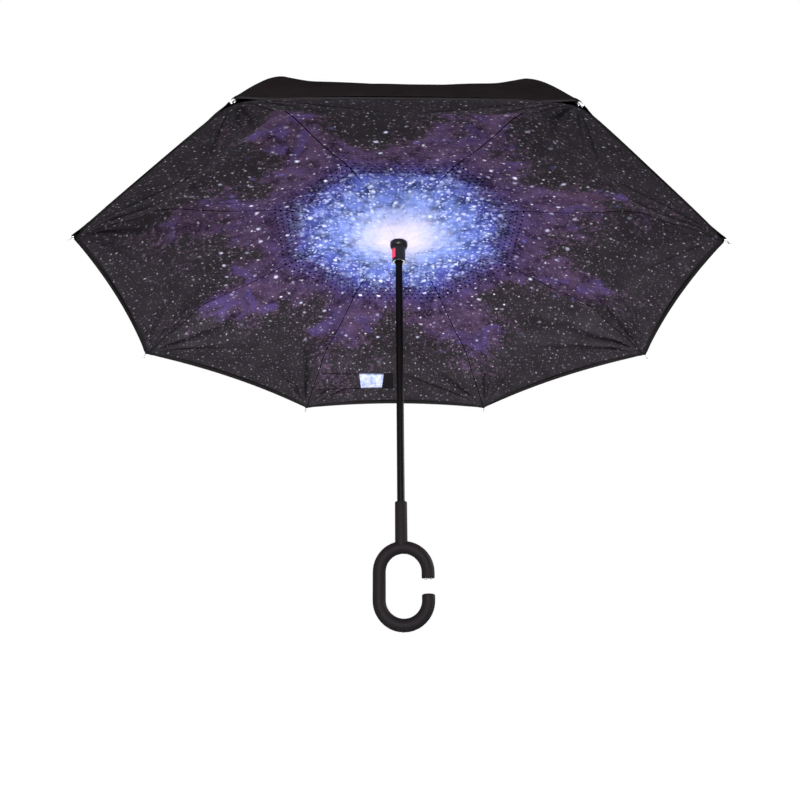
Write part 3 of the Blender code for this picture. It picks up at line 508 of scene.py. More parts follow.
def star_field(finish, place, outward, color):
    """Soft blobs in the blue ring, then finer and sparser stars towards the rim."""
    share = finish.math("DIVIDE", outward, PRINT_REACH)
    near = finish.ramp(share, [(0.03, 0.10), (0.12, 0.85), (0.28, 1.0), (0.33, 0.25), (0.37, 0.0)])
    outer = finish.ramp(share, [(0.30, 0.0), (0.37, 1.0), (0.62, 0.80), (1.0, 0.65)])
    ring = finish.ramp(share, [(0.28, 0.0), (0.34, 1.0), (0.50, 0.9), (0.72, 0.05)])
    grit = finish.ramp(finish.noise(place, 160.0, 2.0, 0.6), [(0.60, 0.0), (0.78, 0.7)])
    dots = {"grit": finish.times(grit, near)}
    for kind, zone in (
        ("glow", near), ("blob", near), ("bead", near), ("small", outer), ("dust", outer),
        ("halo", ring), ("bright", ring), ("light", ring),
    ):
        dots[kind] = finish.times(stars(finish, place, kind), zone)
    color = finish.mix(finish.times(dots["glow"], 0.6), color, (0.40, 0.50, 0.86))
    color = finish.mix(dots["grit"], color, (0.50, 0.57, 0.90))
    for kind in ("blob", "bead"):
        color = finish.mix(dots[kind], color, (0.22, 0.33, 0.90))
        color = finish.mix(finish.math("POWER", dots[kind], 1.35), color, (0.95, 0.96, 1.0))
    color = finish.mix(dots["small"], color, (0.50, 0.47, 0.56))
    color = finish.mix(finish.times(dots["dust"], 0.8), color, (0.34, 0.30, 0.38))
    color = finish.mix(finish.times(dots["halo"], 0.45), color, (0.20, 0.20, 0.70))
    color = finish.mix(dots["bright"], color, (0.95, 0.93, 1.0))
    return finish.mix(dots["light"], color, (0.90, 0.86, 0.98))


def make_print(name):
    """The printed polyester of the inner canopy."""
    finish = Finish(name, (0.06, 0.04, 0.08), 0.60, specular=0.0)
    color, relief = panel_details(finish, nebula_color(finish), weave(finish))
    slack = finish.bump(finish.noise(finish.map("cloth"), 9.0, 2.0, 0.4), SLACK_RELIEF, 0.7)
    pulled = creases(finish, slack)
    return finish.done(color=color, normal=finish.bump(relief, CLOTH_RELIEF, 0.5, pulled))


print_cloth = make_print("nebula_print")
print("print material nodes:", len(print_cloth.node_tree.nodes))

# %% [markdown]
# ## Black cloth, and the back of the print
#
# The outer canopy is plain black pongee. It has no shine, but it is never flat: the weave, uneven
# dye, the slackness between the ribs and the painted shade and highlight along its seams give it form.
# The back of the printed cloth is made the same way in a dark violet with broader patches, as if the
# print only just showed through.

# %% Black pongee


def make_black_cloth(name, color, cloudy):
    """Plain dyed pongee with seams and a hem."""
    finish = Finish(name, color, 0.62, specular=0.0)
    place = finish.map("cloth")
    tone = finish.mix(finish.noise(place, cloudy, 4.0), color, [1.7 * part for part in color])
    dyed, relief = panel_details(finish, tone, weave(finish))
    slack = finish.bump(finish.noise(place, 14.0, 3.0, 0.5), 0.0035, 0.6)
    return finish.done(color=dyed, normal=finish.bump(relief, CLOTH_RELIEF, 0.5, slack))


black_cloth = make_black_cloth("black_pongee", (0.0038, 0.0031, 0.0034), 22.0)
print_back = make_black_cloth("print_reverse", (0.020, 0.016, 0.024), 9.0)
print("cloth materials:", black_cloth.name, print_back.name)

# %% [markdown]
# ## The line of a rib
#
# Both canopies hang on eight ribs. Each rib has a straight arm and a bowed rod, and the rod is one
# cubic Bezier that leaves the joint along the arm and comes down to the tip. The same curve made the
# solids, so the cloth's place can be given as a distance from it.

# %% Rib line
RIBS = 8
HALF_GORE = math.pi / RIBS
FIRST_RIB = -HALF_GORE
PIVOT_RADIUS = math.hypot(*hinges["rib_hinge_1"]["pos_m"][:2])
RIB_PIVOT = hinges["rib_hinge_1"]["pos_m"][2]
NOTCH_PIVOT = hinges["stretcher_hinge_1"]["pos_m"][2]
RIB_SWING = math.radians(hinges["rib_hinge_1"]["range_deg"][1])
STRETCHER_SWING = math.radians(hinges["stretcher_hinge_1"]["range_deg"][1])
ARM_LENGTH = 0.2382
ARM_OPEN_ANGLE = math.radians(5.0)
TIP_RADIUS = 0.5310
TIP_DROP = 0.137
TIP_ANGLE = math.radians(-54.0)
ROD_INNER_PULL = 0.150
ROD_OUTER_PULL = 0.190
CURVE_STEPS = 60


def rib_line():
    """Points of the whole rib from its pivot to its tip, with the length run at each."""
    arm_way = Vector((math.cos(ARM_OPEN_ANGLE), math.sin(ARM_OPEN_ANGLE)))
    joint = ARM_LENGTH * arm_way
    tip = Vector((TIP_RADIUS - PIVOT_RADIUS, -TIP_DROP))
    leave = joint + ROD_INNER_PULL * arm_way
    arrive = tip - ROD_OUTER_PULL * Vector((math.cos(TIP_ANGLE), math.sin(TIP_ANGLE)))
    points = [Vector((0, 0))] + interpolate_bezier(joint, leave, arrive, tip, CURVE_STEPS + 1)
    runs = [0.0]
    for before, after in zip(points, points[1:]):
        runs.append(runs[-1] + (after - before).length)
    return points, runs


RIB_POINTS, RIB_RUNS = rib_line()
RIB_LENGTH = RIB_RUNS[-1]
print("rib length in mm:", round(1000 * RIB_LENGTH, 1))

# %% [markdown]
# ## Rows of the canopies
#
# A canopy is described by rows. A row holds its radius and height at the rib, and how far the cloth
# sags midway to the next rib. The coarse rows are the solids' own. Each entry of a table below starts
# with a share of the way out, along the rib, the rod or the crown's slope, and ends with a share of
# the greatest sag. For the inner canopy, the number between them says how far the cloth hangs below
# the rib, as a share of `LAYER_DEPTH`. A smooth curve through the coarse rows gives as many fine rows
# as the cloth needs.

# %% Coarse and fine rows
CLOTH = 0.0005
CLOTH_OFFSET = 0.00345
LAYER_DEPTH = 0.060
CLOTH_SAG = 0.016
CLOTH_GAP = 0.0003
RUNNER_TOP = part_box("runner_body")[1].z
RUNNER_CLEAR = 0.0004
CLAMP_HEIGHT = 0.66315
CLAMP_RADIUS = 0.0138
INNER_START = (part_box("runner_body")[1].x + RUNNER_CLEAR, RUNNER_TOP + CLOTH + CLOTH_GAP)
CROWN_START_RADIUS = CLAMP_RADIUS / math.cos(HALF_GORE)
INNER_SPACING = 0.010
OUTER_SPACING = 0.011
INNER_ROW_SHARES = (
    (0.060, 0.070, 0.00), (0.170, 0.015, 0.06), (0.236, 0.030, 0.08), (0.329, 0.216, 0.10),
    (0.366, 0.325, 0.12), (0.463, 0.708, 0.14), (0.585, 0.938, 0.16), (0.697, 0.806, 0.20),
    (0.781, 0.545, 0.20), (0.825, 0.520, 0.14), (0.879, 0.332, 0.04), (0.940, 0.120, -0.20),
    (1.000, 0.000, -0.40),
)
OUTER_ROW_SHARES = (
    (0.000, 0.00), (0.140, 0.22), (0.283, 0.60), (0.410, 0.92), (0.528, 1.00), (0.637, 0.82),
    (0.747, 0.46), (0.865, 0.12), (1.000, -0.02),
)
CROWN_ROW_SHARES = ((0.0, 0.0), (0.20, 0.10), (0.45, 0.16), (0.72, 0.10), (1.0, 0.0))


def canopy_row(run, offset, sag):
    """A row at a length along the rib: (radius, height, sag), at an offset below the rib."""
    n = next((k for k in range(len(RIB_RUNS) - 2) if run <= RIB_RUNS[k + 1]), len(RIB_RUNS) - 2)
    start, end = RIB_POINTS[n], RIB_POINTS[n + 1]
    point = start.lerp(end, (run - RIB_RUNS[n]) / (RIB_RUNS[n + 1] - RIB_RUNS[n]))
    way = (end - start).normalized()
    return Vector((PIVOT_RADIUS + point.x + way.y * offset, RIB_PIVOT + point.y - way.x * offset, sag))


def smooth_rows(coarse, spacing):
    """Rows at an even spacing on a smooth curve through the coarse rows."""
    rows = [coarse[0]]
    for k, (start, end) in enumerate(zip(coarse, coarse[1:])):
        step = (end - start).length
        before, after = coarse[max(k - 1, 0)], coarse[min(k + 2, len(coarse) - 1)]
        leave = start + (end - before).normalized() * step / 3
        arrive = end - (after - start).normalized() * step / 3
        count = max(1, round(step / spacing))
        rows += interpolate_bezier(start, leave, arrive, end, count + 1)[1:]
    return rows


inner_coarse = [Vector((*INNER_START, 0.0))] + [
    canopy_row(share * RIB_LENGTH, CLOTH_OFFSET + depth * LAYER_DEPTH, sag * CLOTH_SAG)
    for share, depth, sag in INNER_ROW_SHARES
]
outer_coarse = [
    canopy_row(ARM_LENGTH + share * (RIB_LENGTH - ARM_LENGTH), -CLOTH_OFFSET, sag * CLOTH_SAG)
    for share, sag in OUTER_ROW_SHARES
]
crown_start = Vector((CROWN_START_RADIUS, CLAMP_HEIGHT, 0.0))
crown_coarse = [
    crown_start.lerp(outer_coarse[0], share) + Vector((0, 0, sag * CLOTH_SAG))
    for share, sag in CROWN_ROW_SHARES
]
print("coarse rows:", len(inner_coarse), len(outer_coarse), len(crown_coarse))

# %% [markdown]
# ## How the cloth folds
#
# When the runner slides down, the ribs swing up and the canopy closes into a narrow cone. Real cloth
# then hangs in pleats between the ribs. Here each gore is cut in three along its length: a middle
# facet that rides on its rib and two wedges beside it. The facet is as wide as a side of the closed
# cone: `folded` works out where a point would end up if the umbrella closed, with the inner canopy's
# facet drawn flat to a tenth of its depth, and `facet_share` uses it to find how wide the facet may be
# at each row. Between two tips the rim is cut slightly hollow, as on most umbrellas, so that its edge
# is pulled tight instead of fluttering.

# %% Layers and their folds
BOW_POWER = 3.6
RIM_HOLLOW = 0.010
HOLLOW_START = 0.40
PLEAT_GAP = 0.0012
FACET_KEEP = 0.10
PLEAT_KEEP = 0.004
LEAST_FACET_SHARE = 0.02
HALVINGS = 24


@dataclass
class Layer:
    """One canopy: its rows, the name of the joint that folds it, which is not used, and the side that shows.
    """

    name: str
    rows: list
    first_run: float
    facing: int
    body: str
    joint: str
    pivot: Vector
    swing: float
    pleat_offset: float
    facet_normal: Vector = None
    facet_anchor: Vector = None

    def __post_init__(self):
        self.runs = [self.first_run]
        for before, after in zip(self.rows, self.rows[1:]):
            self.runs.append(self.runs[-1] + (after.xy - before.xy).length)


def folded(layer, point):
    """Where a point of the rib's own frame goes when the umbrella closes."""
    if layer.facet_normal is not None:
        rise = (point - layer.facet_anchor).dot(layer.facet_normal)
        point = point - layer.facet_normal * rise * (1 - FACET_KEEP)
    out, up = point.x - layer.pivot.x, point.z - layer.pivot.z
    turn_cos, turn_sin = math.cos(layer.swing), math.sin(layer.swing)
    x = layer.pivot.x + out * turn_cos - up * turn_sin
    return Vector((x, point.y, layer.pivot.z + out * turn_sin + up * turn_cos))


def gore_point(row, across):
    """A point of a gore in its rib's frame. Across runs from -1 to 1, with the rib at 0."""
    radius, height, sag = row
    share = abs(across)
    bow = 1 - (1 - share) ** BOW_POWER
    mid = radius * math.cos(HALF_GORE)
    x = radius + (mid * math.cos(HALF_GORE) - radius) * share
    y = mid * math.sin(HALF_GORE) * across
    near_rim = max(0.0, (radius - HOLLOW_START) / (TIP_RADIUS - HOLLOW_START))
    hollow = RIM_HOLLOW * share * (2 - share) * near_rim ** 2
    reach = 1 - hollow * math.cos(TIP_ANGLE) / radius
    return Vector((x * reach, y * reach, height - sag * bow - hollow * math.sin(TIP_ANGLE)))


def facet_share(layer, row):
    """The widest share of a half gore that stays clear of the next facet when closed.

    Halving the interval again and again closes in on it.
    """
    low, high = 0.0, 1.0
    for _ in range(HALVINGS):
        middle = (low + high) / 2
        point = folded(layer, gore_point(row, middle))
        if math.tan(HALF_GORE) * point.x - PLEAT_GAP > point.y:
            low = middle
        else:
            high = middle
    return max(LEAST_FACET_SHARE, low)


def pleat_plane(layer, side):
    """Normal and anchor, in the rib's frame, of the plane that a wedge would be pressed onto when closed."""
    tilt = -math.sin(HALF_GORE) * math.cos(layer.swing)
    rise = math.sin(HALF_GORE) * math.sin(layer.swing)
    normal = Vector((tilt, side * math.cos(HALF_GORE), rise))
    drop = (layer.pivot.x - layer.pleat_offset / math.sin(HALF_GORE)) / math.sin(layer.swing)
    return normal, layer.pivot + Vector((0, 0, drop))


chord = (inner_coarse[-1].xy - inner_coarse[0].xy).normalized()
rib_pivot = Vector((PIVOT_RADIUS, 0, RIB_PIVOT))
inner_layer = Layer(
    "inner", smooth_rows(inner_coarse, INNER_SPACING), first_run=INNER_START[0], facing=-1,
    body="rib_", joint="rib_hinge_", pivot=rib_pivot, swing=RIB_SWING, pleat_offset=0.0015,
    facet_normal=Vector((-chord.y, 0, chord.x)),
    facet_anchor=Vector((INNER_START[0], 0, INNER_START[1])),
)
outer_layer = Layer(
    "outer", smooth_rows(outer_coarse, OUTER_SPACING), first_run=outer_coarse[0].x, facing=1,
    body="rib_", joint="rib_hinge_", pivot=rib_pivot, swing=RIB_SWING, pleat_offset=0.0006,
)
crown_layer = Layer(
    "crown", smooth_rows(crown_coarse, OUTER_SPACING), first_run=CROWN_START_RADIUS, facing=1,
    body="stretcher_", joint="stretcher_hinge_", pivot=Vector((PIVOT_RADIUS, 0, NOTCH_PIVOT)),
    swing=-STRETCHER_SWING, pleat_offset=0.00025,
)
for layer in (inner_layer, outer_layer, crown_layer):
    shares = [round(facet_share(layer, row), 2) for row in layer.rows]
    print(layer.name, "rows:", len(layer.rows), "facet shares:", shares[0], min(shares), shares[-1])

# %% [markdown]
# ## Cloth pieces
#
# One helper makes every piece of cloth. It starts from a flat grid and moves its points onto the
# rows, then adds the slackness of real cloth: soft folds that run down to the rim and creases that
# fan out from each tip, where the cloth is pulled tight. Near the rim, away from the ribs, the two
# layers come together, because they are sewn to each other there. Three modifiers finish the piece:
# Subdivision Surface rounds it, Solidify gives it its thickness, and Weighted Normal keeps the light
# running smoothly over the line where two pieces meet.

# %% Cloth helper
FOLD_DEPTH = 0.0042
FOLD_SCALE = 11
FOLD_START = 0.45
RIB_HOLD = 0.035
CREASE_DEPTH = 0.0034
CREASE_REACH = 0.24
TIP_HOLD = 0.05
SEWN_REACH = 0.07
SEWN_HOLD = 0.018


def rib_turn(n):
    """The turn about Z that brings the rib's own frame to rib n."""
    return Matrix.Rotation(FIRST_RIB + 2 * HALF_GORE * (n - 1), 4, "Z")


def slack(layer, run, across, flat):
    """How far the cloth hangs away from its ribs at a place of the canopy."""
    end = layer.runs[-1]
    half = 0.5 * layer.rows[-1].x * math.sin(2 * HALF_GORE)
    aside = abs(across) * half * run / end
    free = 1 - math.exp(-((aside / RIB_HOLD) ** 2))
    lower = max(0.0, (run / end - FOLD_START) / (1 - FOLD_START))
    soft = 0.5 + 0.5 * noise.noise(Vector((flat.x * FOLD_SCALE, flat.y * FOLD_SCALE, 3.0 * layer.facing)))
    folds = FOLD_DEPTH * soft * free * lower
    reach = math.hypot(end - run, aside)
    bearing = math.atan2(aside, max(end - run, 0.001))
    fan = 0.5 + 0.5 * math.cos(CREASE_RATE * bearing)
    near = max(0.0, 1 - reach / CREASE_REACH)
    creases = CREASE_DEPTH * fan * near * min(1.0, aside / 0.02) * min(1.0, reach / TIP_HOLD)
    rim = max(0.0, 1 - (end - run) / SEWN_REACH)
    sewn = (CLOTH_OFFSET - CLOTH) * rim ** 2 * (1 - math.exp(-((aside / SEWN_HOLD) ** 2)))
    return folds * (1 - rim) + creases * (1 - rim ** 4) - sewn


def row_beyond(rows, radius):
    """The number of the first row beyond a radius, and how far towards it the radius lies."""
    after = next(j for j, row in enumerate(rows) if row.x > radius)
    low, high = rows[after - 1], rows[after]
    return after, (radius - low.x) / (high.x - low.x)


def row_at(layer, radius):
    """The row of a layer at a radius, and the length run there."""
    after, share = row_beyond(layer.rows, radius)
    run = layer.runs[after - 1] + share * (layer.runs[after] - layer.runs[after - 1])
    return layer.rows[after - 1].lerp(layer.rows[after], share), run


def cloth_grid(layer, n, start, stop, columns, lift, rows=None, runs=None):
    """A grid of cloth between two lines of shares, one pair for each row, in the umbrella's frame."""
    rows, runs = rows or layer.rows, runs or layer.runs
    last = len(rows) - 1
    bm = bmesh.new()
    bmesh.ops.create_grid(bm, x_segments=last, y_segments=columns, size=1.0, calc_uvs=False)
    cloth, seam = bm.loops.layers.uv.new("cloth"), bm.loops.layers.uv.new("seam")
    places = {}
    turn = rib_turn(n)
    for vert in bm.verts:
        k = round((vert.co.x + 1) / 2 * last)
        share = (vert.co.y + 1) / 2
        across = start[k] + (stop[k] - start[k]) * share
        row, run = rows[k], runs[k]
        point = gore_point(row, across)
        flat = turn @ Vector((point.x, point.y, 0)) * (run / row.x)
        ahead = rows[min(k + 1, last)].xy - rows[max(k - 1, 0)].xy
        ahead.normalize()
        azimuth = math.atan2(point.y, point.x)
        away = Vector((ahead.y * math.cos(azimuth), ahead.y * math.sin(azimuth), -ahead.x))
        drop = slack(layer, run, across, flat) + lift
        vert.co = turn @ (point - layer.facing * away * drop)
        places[vert] = (flat.xy, Vector((point.y, layer.runs[-1] - run)))
    for face in bm.faces:
        for loop in face.loops:
            loop[cloth].uv, loop[seam].uv = places[loop.vert]
    face_out(bm, layer.facing)
    return bm


def face_out(bm, facing):
    """Turns the whole sheet so that its visible side faces up (1) or down (-1)."""
    bm.normal_update()
    if sum(face.normal.z for face in bm.faces) * facing < 0:
        bmesh.ops.reverse_faces(bm, faces=bm.faces)


def cloth_piece(bm, name, body, materials, thickness=CLOTH):
    """Turns a grid into a finished piece of cloth that rides on a body."""
    piece = new_object(bm, name, materials)
    piece.data.shade_smooth()
    smooth = piece.modifiers.new("smooth", "SUBSURF")
    smooth.levels = smooth.render_levels = 1
    smooth.uv_smooth = "NONE"
    smooth.boundary_smooth = "PRESERVE_CORNERS"
    thick = piece.modifiers.new("thickness", "SOLIDIFY")
    thick.thickness = thickness
    thick.offset = 0.0
    thick.material_offset = 1 if len(materials) > 1 else 0
    even = piece.modifiers.new("even_normals", "WEIGHTED_NORMAL")
    even.weight = 100
    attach(piece, body)
    return piece


print("fold depth in mm:", 1000 * FOLD_DEPTH)

# %% [markdown]
# ## Vent holes
#
# Four rows of small round holes run round the inner canopy where the layers start to part, so that
# wind can pass. They are real holes. The band that holds them gets rows twice as close. In four of
# these, every second cell is inset and its middle deleted, and the Subdivision Surface modifier
# rounds what is left from a square towards a circle.

# %% Vent holes helper
VENT_RADII = (0.199, 0.209, 0.219, 0.229)
VENT_PITCH = 0.010
VENT_SIZE = 0.0046
VENT_FRAME = 0.0003


def vent_rows(rows):
    """Puts rows at half the pitch through the band of holes."""
    first, last = VENT_RADII[0] - VENT_PITCH / 4, VENT_RADII[-1] + 3 * VENT_PITCH / 4
    count = round((last - first) / (VENT_PITCH / 2))
    inside = [row for row in rows if row.x < first - VENT_PITCH / 4]
    outside = [row for row in rows if row.x > last + VENT_PITCH / 4]
    band = []
    for k in range(count + 1):
        after, share = row_beyond(rows, first + (last - first) * k / count)
        band.append(rows[after - 1].lerp(rows[after], share))
    return inside + band + outside


def cut_vents(bm, layer, start, stop, columns):
    """Insets every second cell of the band and deletes its middle."""
    last = len(layer.rows) - 1
    seam = bm.loops.layers.uv["seam"]
    chosen = []
    for face in bm.faces:
        spots = [loop[seam].uv for loop in face.loops]
        aside = sum(spot.x for spot in spots) / len(spots)
        inward = sum(spot.y for spot in spots) / len(spots)
        k = next((j for j in range(last) if layer.runs[-1] - layer.runs[j + 1] < inward), last - 1)
        middle = (layer.rows[k].x + layer.rows[k + 1].x) / 2
        order = next((j for j, vent in enumerate(VENT_RADII) if abs(middle - vent) < VENT_PITCH / 8), None)
        if order is None:
            continue
        unit = middle * math.sin(HALF_GORE) * math.cos(HALF_GORE)
        width = unit * (stop[k] - start[k]) / columns
        column = math.floor((aside - unit * start[k]) / width)
        if (column + order) % 2 == 0:
            chosen.append((face, width))
    for face, width in chosen:
        inset = max(VENT_FRAME, (min(width, VENT_PITCH / 2) - VENT_SIZE) / 2)
        bmesh.ops.inset_individual(bm, faces=[face], thickness=inset, use_interpolate=True)
    bmesh.ops.delete(bm, geom=[face for face, _ in chosen], context="FACES")


inner_layer.rows = vent_rows(inner_layer.rows)
inner_layer.__post_init__()
print("inner rows with the vent band:", len(inner_layer.rows))

# %% [markdown]
# ## Both canopies
#
# Eight gores make each canopy. Every gore gives a facet and two wedges, so there are 24 pieces of
# printed cloth, 24 of black cloth over the rods and 24 over the stretchers. The gores' solids are
# hidden, and the crown's with the first gore. Each piece carries the canopy unrolled flat as its
# `cloth` map.

# %% Make the canopies
FACET_COLUMNS = 14
WEDGE_COLUMNS = 8


def fold_piece(piece, layer, side, clear=0.0):
    """Works out the plane a facet or a wedge would be pressed onto, and gives the piece its own mesh."""
    if side:
        normal, anchor = pleat_plane(layer, side)
        keep = PLEAT_KEEP
    elif layer.facet_normal is not None:
        normal, anchor, keep = layer.facet_normal, layer.facet_anchor, FACET_KEEP
    else:
        return
    anchor = anchor - normal * clear
    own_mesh(piece)


def make_gore(layer, n, materials, vents):
    """The facet and the two wedges of one gore."""
    left_edge = [facet_share(layer, row) for row in layer.rows]
    right_edge = [-share for share in left_edge]
    left_middle = [1.0] * len(left_edge)
    right_middle = [-1.0] * len(left_edge)
    spans = {
        "facet": (right_edge, left_edge, FACET_COLUMNS, 0),
        "wedge_left": (left_edge, left_middle, WEDGE_COLUMNS, 1),
        "wedge_right": (right_middle, right_edge, WEDGE_COLUMNS, -1),
    }
    made = {}
    for part, (start, stop, columns, side) in spans.items():
        bm = cloth_grid(layer, n, start, stop, columns, 0.0)
        if vents:
            cut_vents(bm, layer, start, stop, columns)
        piece = cloth_piece(bm, f"{layer.name}_{part}_{n}", f"{layer.body}{n}", materials)
        fold_piece(piece, layer, side)
        made[part] = piece
    return made


cloth_count = 0
for n in range(1, RIBS + 1):
    inner = make_gore(inner_layer, n, [print_cloth, print_back], True)
    outer = make_gore(outer_layer, n, [black_cloth], False)
    crown = make_gore(crown_layer, n, [black_cloth], False)
    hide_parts(f"inner_gore_{n}")
    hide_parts(f"outer_gore_{n}")
    if n == 1:
        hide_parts("outer_canopy_crown")
    cloth_count += len(inner) + len(outer) + len(crown)
print("cloth pieces:", cloth_count)

# %% [markdown]
# ## Finishes of the hard parts
#
# The hand loop is coated plastic that feels like soft rubber, the shaft and the ribs are steel under
# satin black paint, and the runner is moulded plastic. They are all nearly black, so it is mostly
# gloss that tells them apart. Each finish mixes lighter and darker patches and has a fine grain as
# relief. Low specular levels keep the white studio from washing the black out.

# %% Finishes for plastic and steel
PATCH_SCALE = 32.0
DARK_PATCH = 0.82
LIGHT_PATCH = 1.18
GLOSS_SPREAD = 0.16


def hard_finish(name, color, roughness, specular, metallic=0.0, grain=900.0, depth=0.00006):
    """A finish with patches of slightly different colour and gloss, and a fine grain."""
    finish = Finish(name, color, roughness, specular, metallic)
    place = finish.place()
    patches = finish.noise(place, PATCH_SCALE, 4.0, 0.6, dimensions="3D")
    dark, light = [[share * part for part in color] for share in (DARK_PATCH, LIGHT_PATCH)]
    tone = finish.mix(patches, dark, light)
    gloss = finish.math("MULTIPLY_ADD", patches, GLOSS_SPREAD, roughness - GLOSS_SPREAD / 2)
    fine = finish.noise(place, grain, 2.0, 0.5, dimensions="3D")
    return finish.done(color=tone, roughness=gloss, normal=finish.bump(fine, depth, 0.6))


soft_grip = hard_finish("soft_touch_grip", (0.0060, 0.0048, 0.0057), 0.60, 0.04, grain=1500.0, depth=0.00009)
black_paint = hard_finish("satin_black_paint", (0.0018, 0.0015, 0.0017), 0.36, 0.05)
black_plastic = hard_finish("moulded_black_plastic", (0.0060, 0.0056, 0.0064), 0.30, 0.22)
red_plastic = hard_finish("crimson_plastic", (0.62, 0.035, 0.075), 0.36, 0.25)
bright_steel = hard_finish("bright_steel", (0.42, 0.42, 0.44), 0.34, 0.5, metallic=1.0, grain=2600.0)
dull_steel = hard_finish("dull_steel", (0.16, 0.16, 0.17), 0.45, 0.5, metallic=1.0, grain=2600.0)
black_fibre = hard_finish("black_glass_fibre", (0.014, 0.013, 0.014), 0.42, 0.15, grain=1800.0)
print("hard finishes:", soft_grip.name, black_paint.name, black_plastic.name, bright_steel.name)

# %% [markdown]
# ## Ways to shape the hard parts
#
# Three ways make nearly all of them. A profile spun about Z gives a lathe-turned part. A circle
# extruded from station to station gives a bent bar or a moulded loop. And a merged copy of a solid
# keeps its slots and pockets. A Bevel modifier breaks the edges of nearly all these copies, because an
# edge that is perfectly sharp never catches the light as a real one does.

# %% Helpers for the hard parts
SHARP_ANGLE = math.radians(35.0)


def hard_piece(bm, name, material, body, edge=0.0):
    """Turns a bmesh into a finished hard piece that rides on a body.

    Its edges are rounded where a width for them is given, and stay crisp otherwise.
    """
    bmesh.ops.recalc_face_normals(bm, faces=bm.faces)
    piece = new_object(bm, name, [material])
    piece.data.shade_smooth()
    if edge:
        rounded = piece.modifiers.new("rounded_edges", "BEVEL")
        rounded.width = edge
        rounded.segments = 2
        rounded.limit_method = "ANGLE"
        rounded.angle_limit = SHARP_ANGLE
        piece.modifiers.new("even_normals", "WEIGHTED_NORMAL")
    else:
        piece.data.set_sharp_from_angle(angle=SHARP_ANGLE)
    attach(piece, body)
    return piece


def refined(node, material, body, edge):
    """A merged copy of a solid with rounded edges, which stands for the solid."""
    bm = bmesh.new()
    bm.from_mesh(nodes[node].data)
    bmesh.ops.remove_doubles(bm, verts=bm.verts, dist=0.000002)
    bmesh.ops.dissolve_limit(bm, angle_limit=math.radians(0.5), verts=bm.verts, edges=bm.edges)
    piece = hard_piece(bm, node + "_finished", material, body, edge)
    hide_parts(node)
    return piece


def spun(profile, sides, closed=False):
    """A profile of (radius, height) points turned about Z."""
    bm = bmesh.new()
    corners = [bm.verts.new((radius, 0, height)) for radius, height in profile]
    edges = [bm.edges.new(pair) for pair in zip(corners, corners[1:])]
    if closed:
        edges.append(bm.edges.new((corners[-1], corners[0])))
    bmesh.ops.spin(
        bm, geom=corners + edges, cent=(0, 0, 0), axis=(0, 0, 1), angle=2 * math.pi, steps=sides,
        use_merge=True,
    )
    bmesh.ops.remove_doubles(bm, verts=bm.verts, dist=0.000001)
    return bm


def arc(centre, radius, start, end, steps):
    """Points on an arc, ends included, with angles in radians."""
    turns = [start + (end - start) * k / steps for k in range(steps + 1)]
    return [(centre[0] + radius * math.cos(t), centre[1] + radius * math.sin(t)) for t in turns]


def lofted(stations, sides):
    """A closed bar through circles. Each station is an (x, z) place, a direction and a radius."""
    frames = []
    for place, way, radius in stations:
        ahead = Vector((way[0], 0, way[1])).normalized()
        side = Vector((0, 1, 0))
        frame = Matrix((side.cross(ahead) * radius, side * radius, ahead)).transposed().to_4x4()
        frame.translation = (place[0], 0, place[1])
        frames.append(frame)
    bm = bmesh.new()
    ring = bmesh.ops.create_circle(bm, cap_ends=False, segments=sides, radius=1.0)["verts"]
    bmesh.ops.transform(bm, matrix=frames[0], verts=ring)
    for before, after in zip(frames, frames[1:]):
        inside = set(ring)
        edges = {edge for vert in ring for edge in vert.link_edges if edge.other_vert(vert) in inside}
        pulled = bmesh.ops.extrude_edge_only(bm, edges=list(edges))["geom"]
        ring = [part for part in pulled if isinstance(part, bmesh.types.BMVert)]
        bmesh.ops.transform(bm, matrix=after @ before.inverted(), verts=ring)
    bmesh.ops.holes_fill(bm, edges=bm.edges, sides=sides)
    return bm


def joined(whole, *others):
    """Several meshes in one."""
    for other in others:
        spare = bpy.data.meshes.new("spare")
        other.to_mesh(spare)
        other.free()
        whole.from_mesh(spare)
        bpy.data.meshes.remove(spare)
    return whole


print("helpers ready: spun, lofted, refined")

# %% [markdown]
# ## Hand loop and neck
#
# The loop is a C of round section with softly rounded ends, open towards +X so that it slips over a
# wrist. The neck is a straight socket that takes the shaft. In the real part both come out of one
# mould and are dipped in soft-touch paint, so the neck runs into the loop without a seam.

# %% Hand loop
LOOP_HEIGHT = 0.1365
LOOP_WIDTH = 0.0943
LOOP_RADIUS = 0.010
LOOP_SHIFT = 0.0032
LOOP_ENDS = (0.0105, -0.0125)
LOOP_EDGE = 0.0026
NECK_TOP = 0.1302
NECK_RADII = (0.0097, 0.0096)
NECK_EDGE = 0.0012
SHAFT_RADIUS = 0.0061
SHAFT_CLEAR = 0.0003
BEND_STEPS = 28


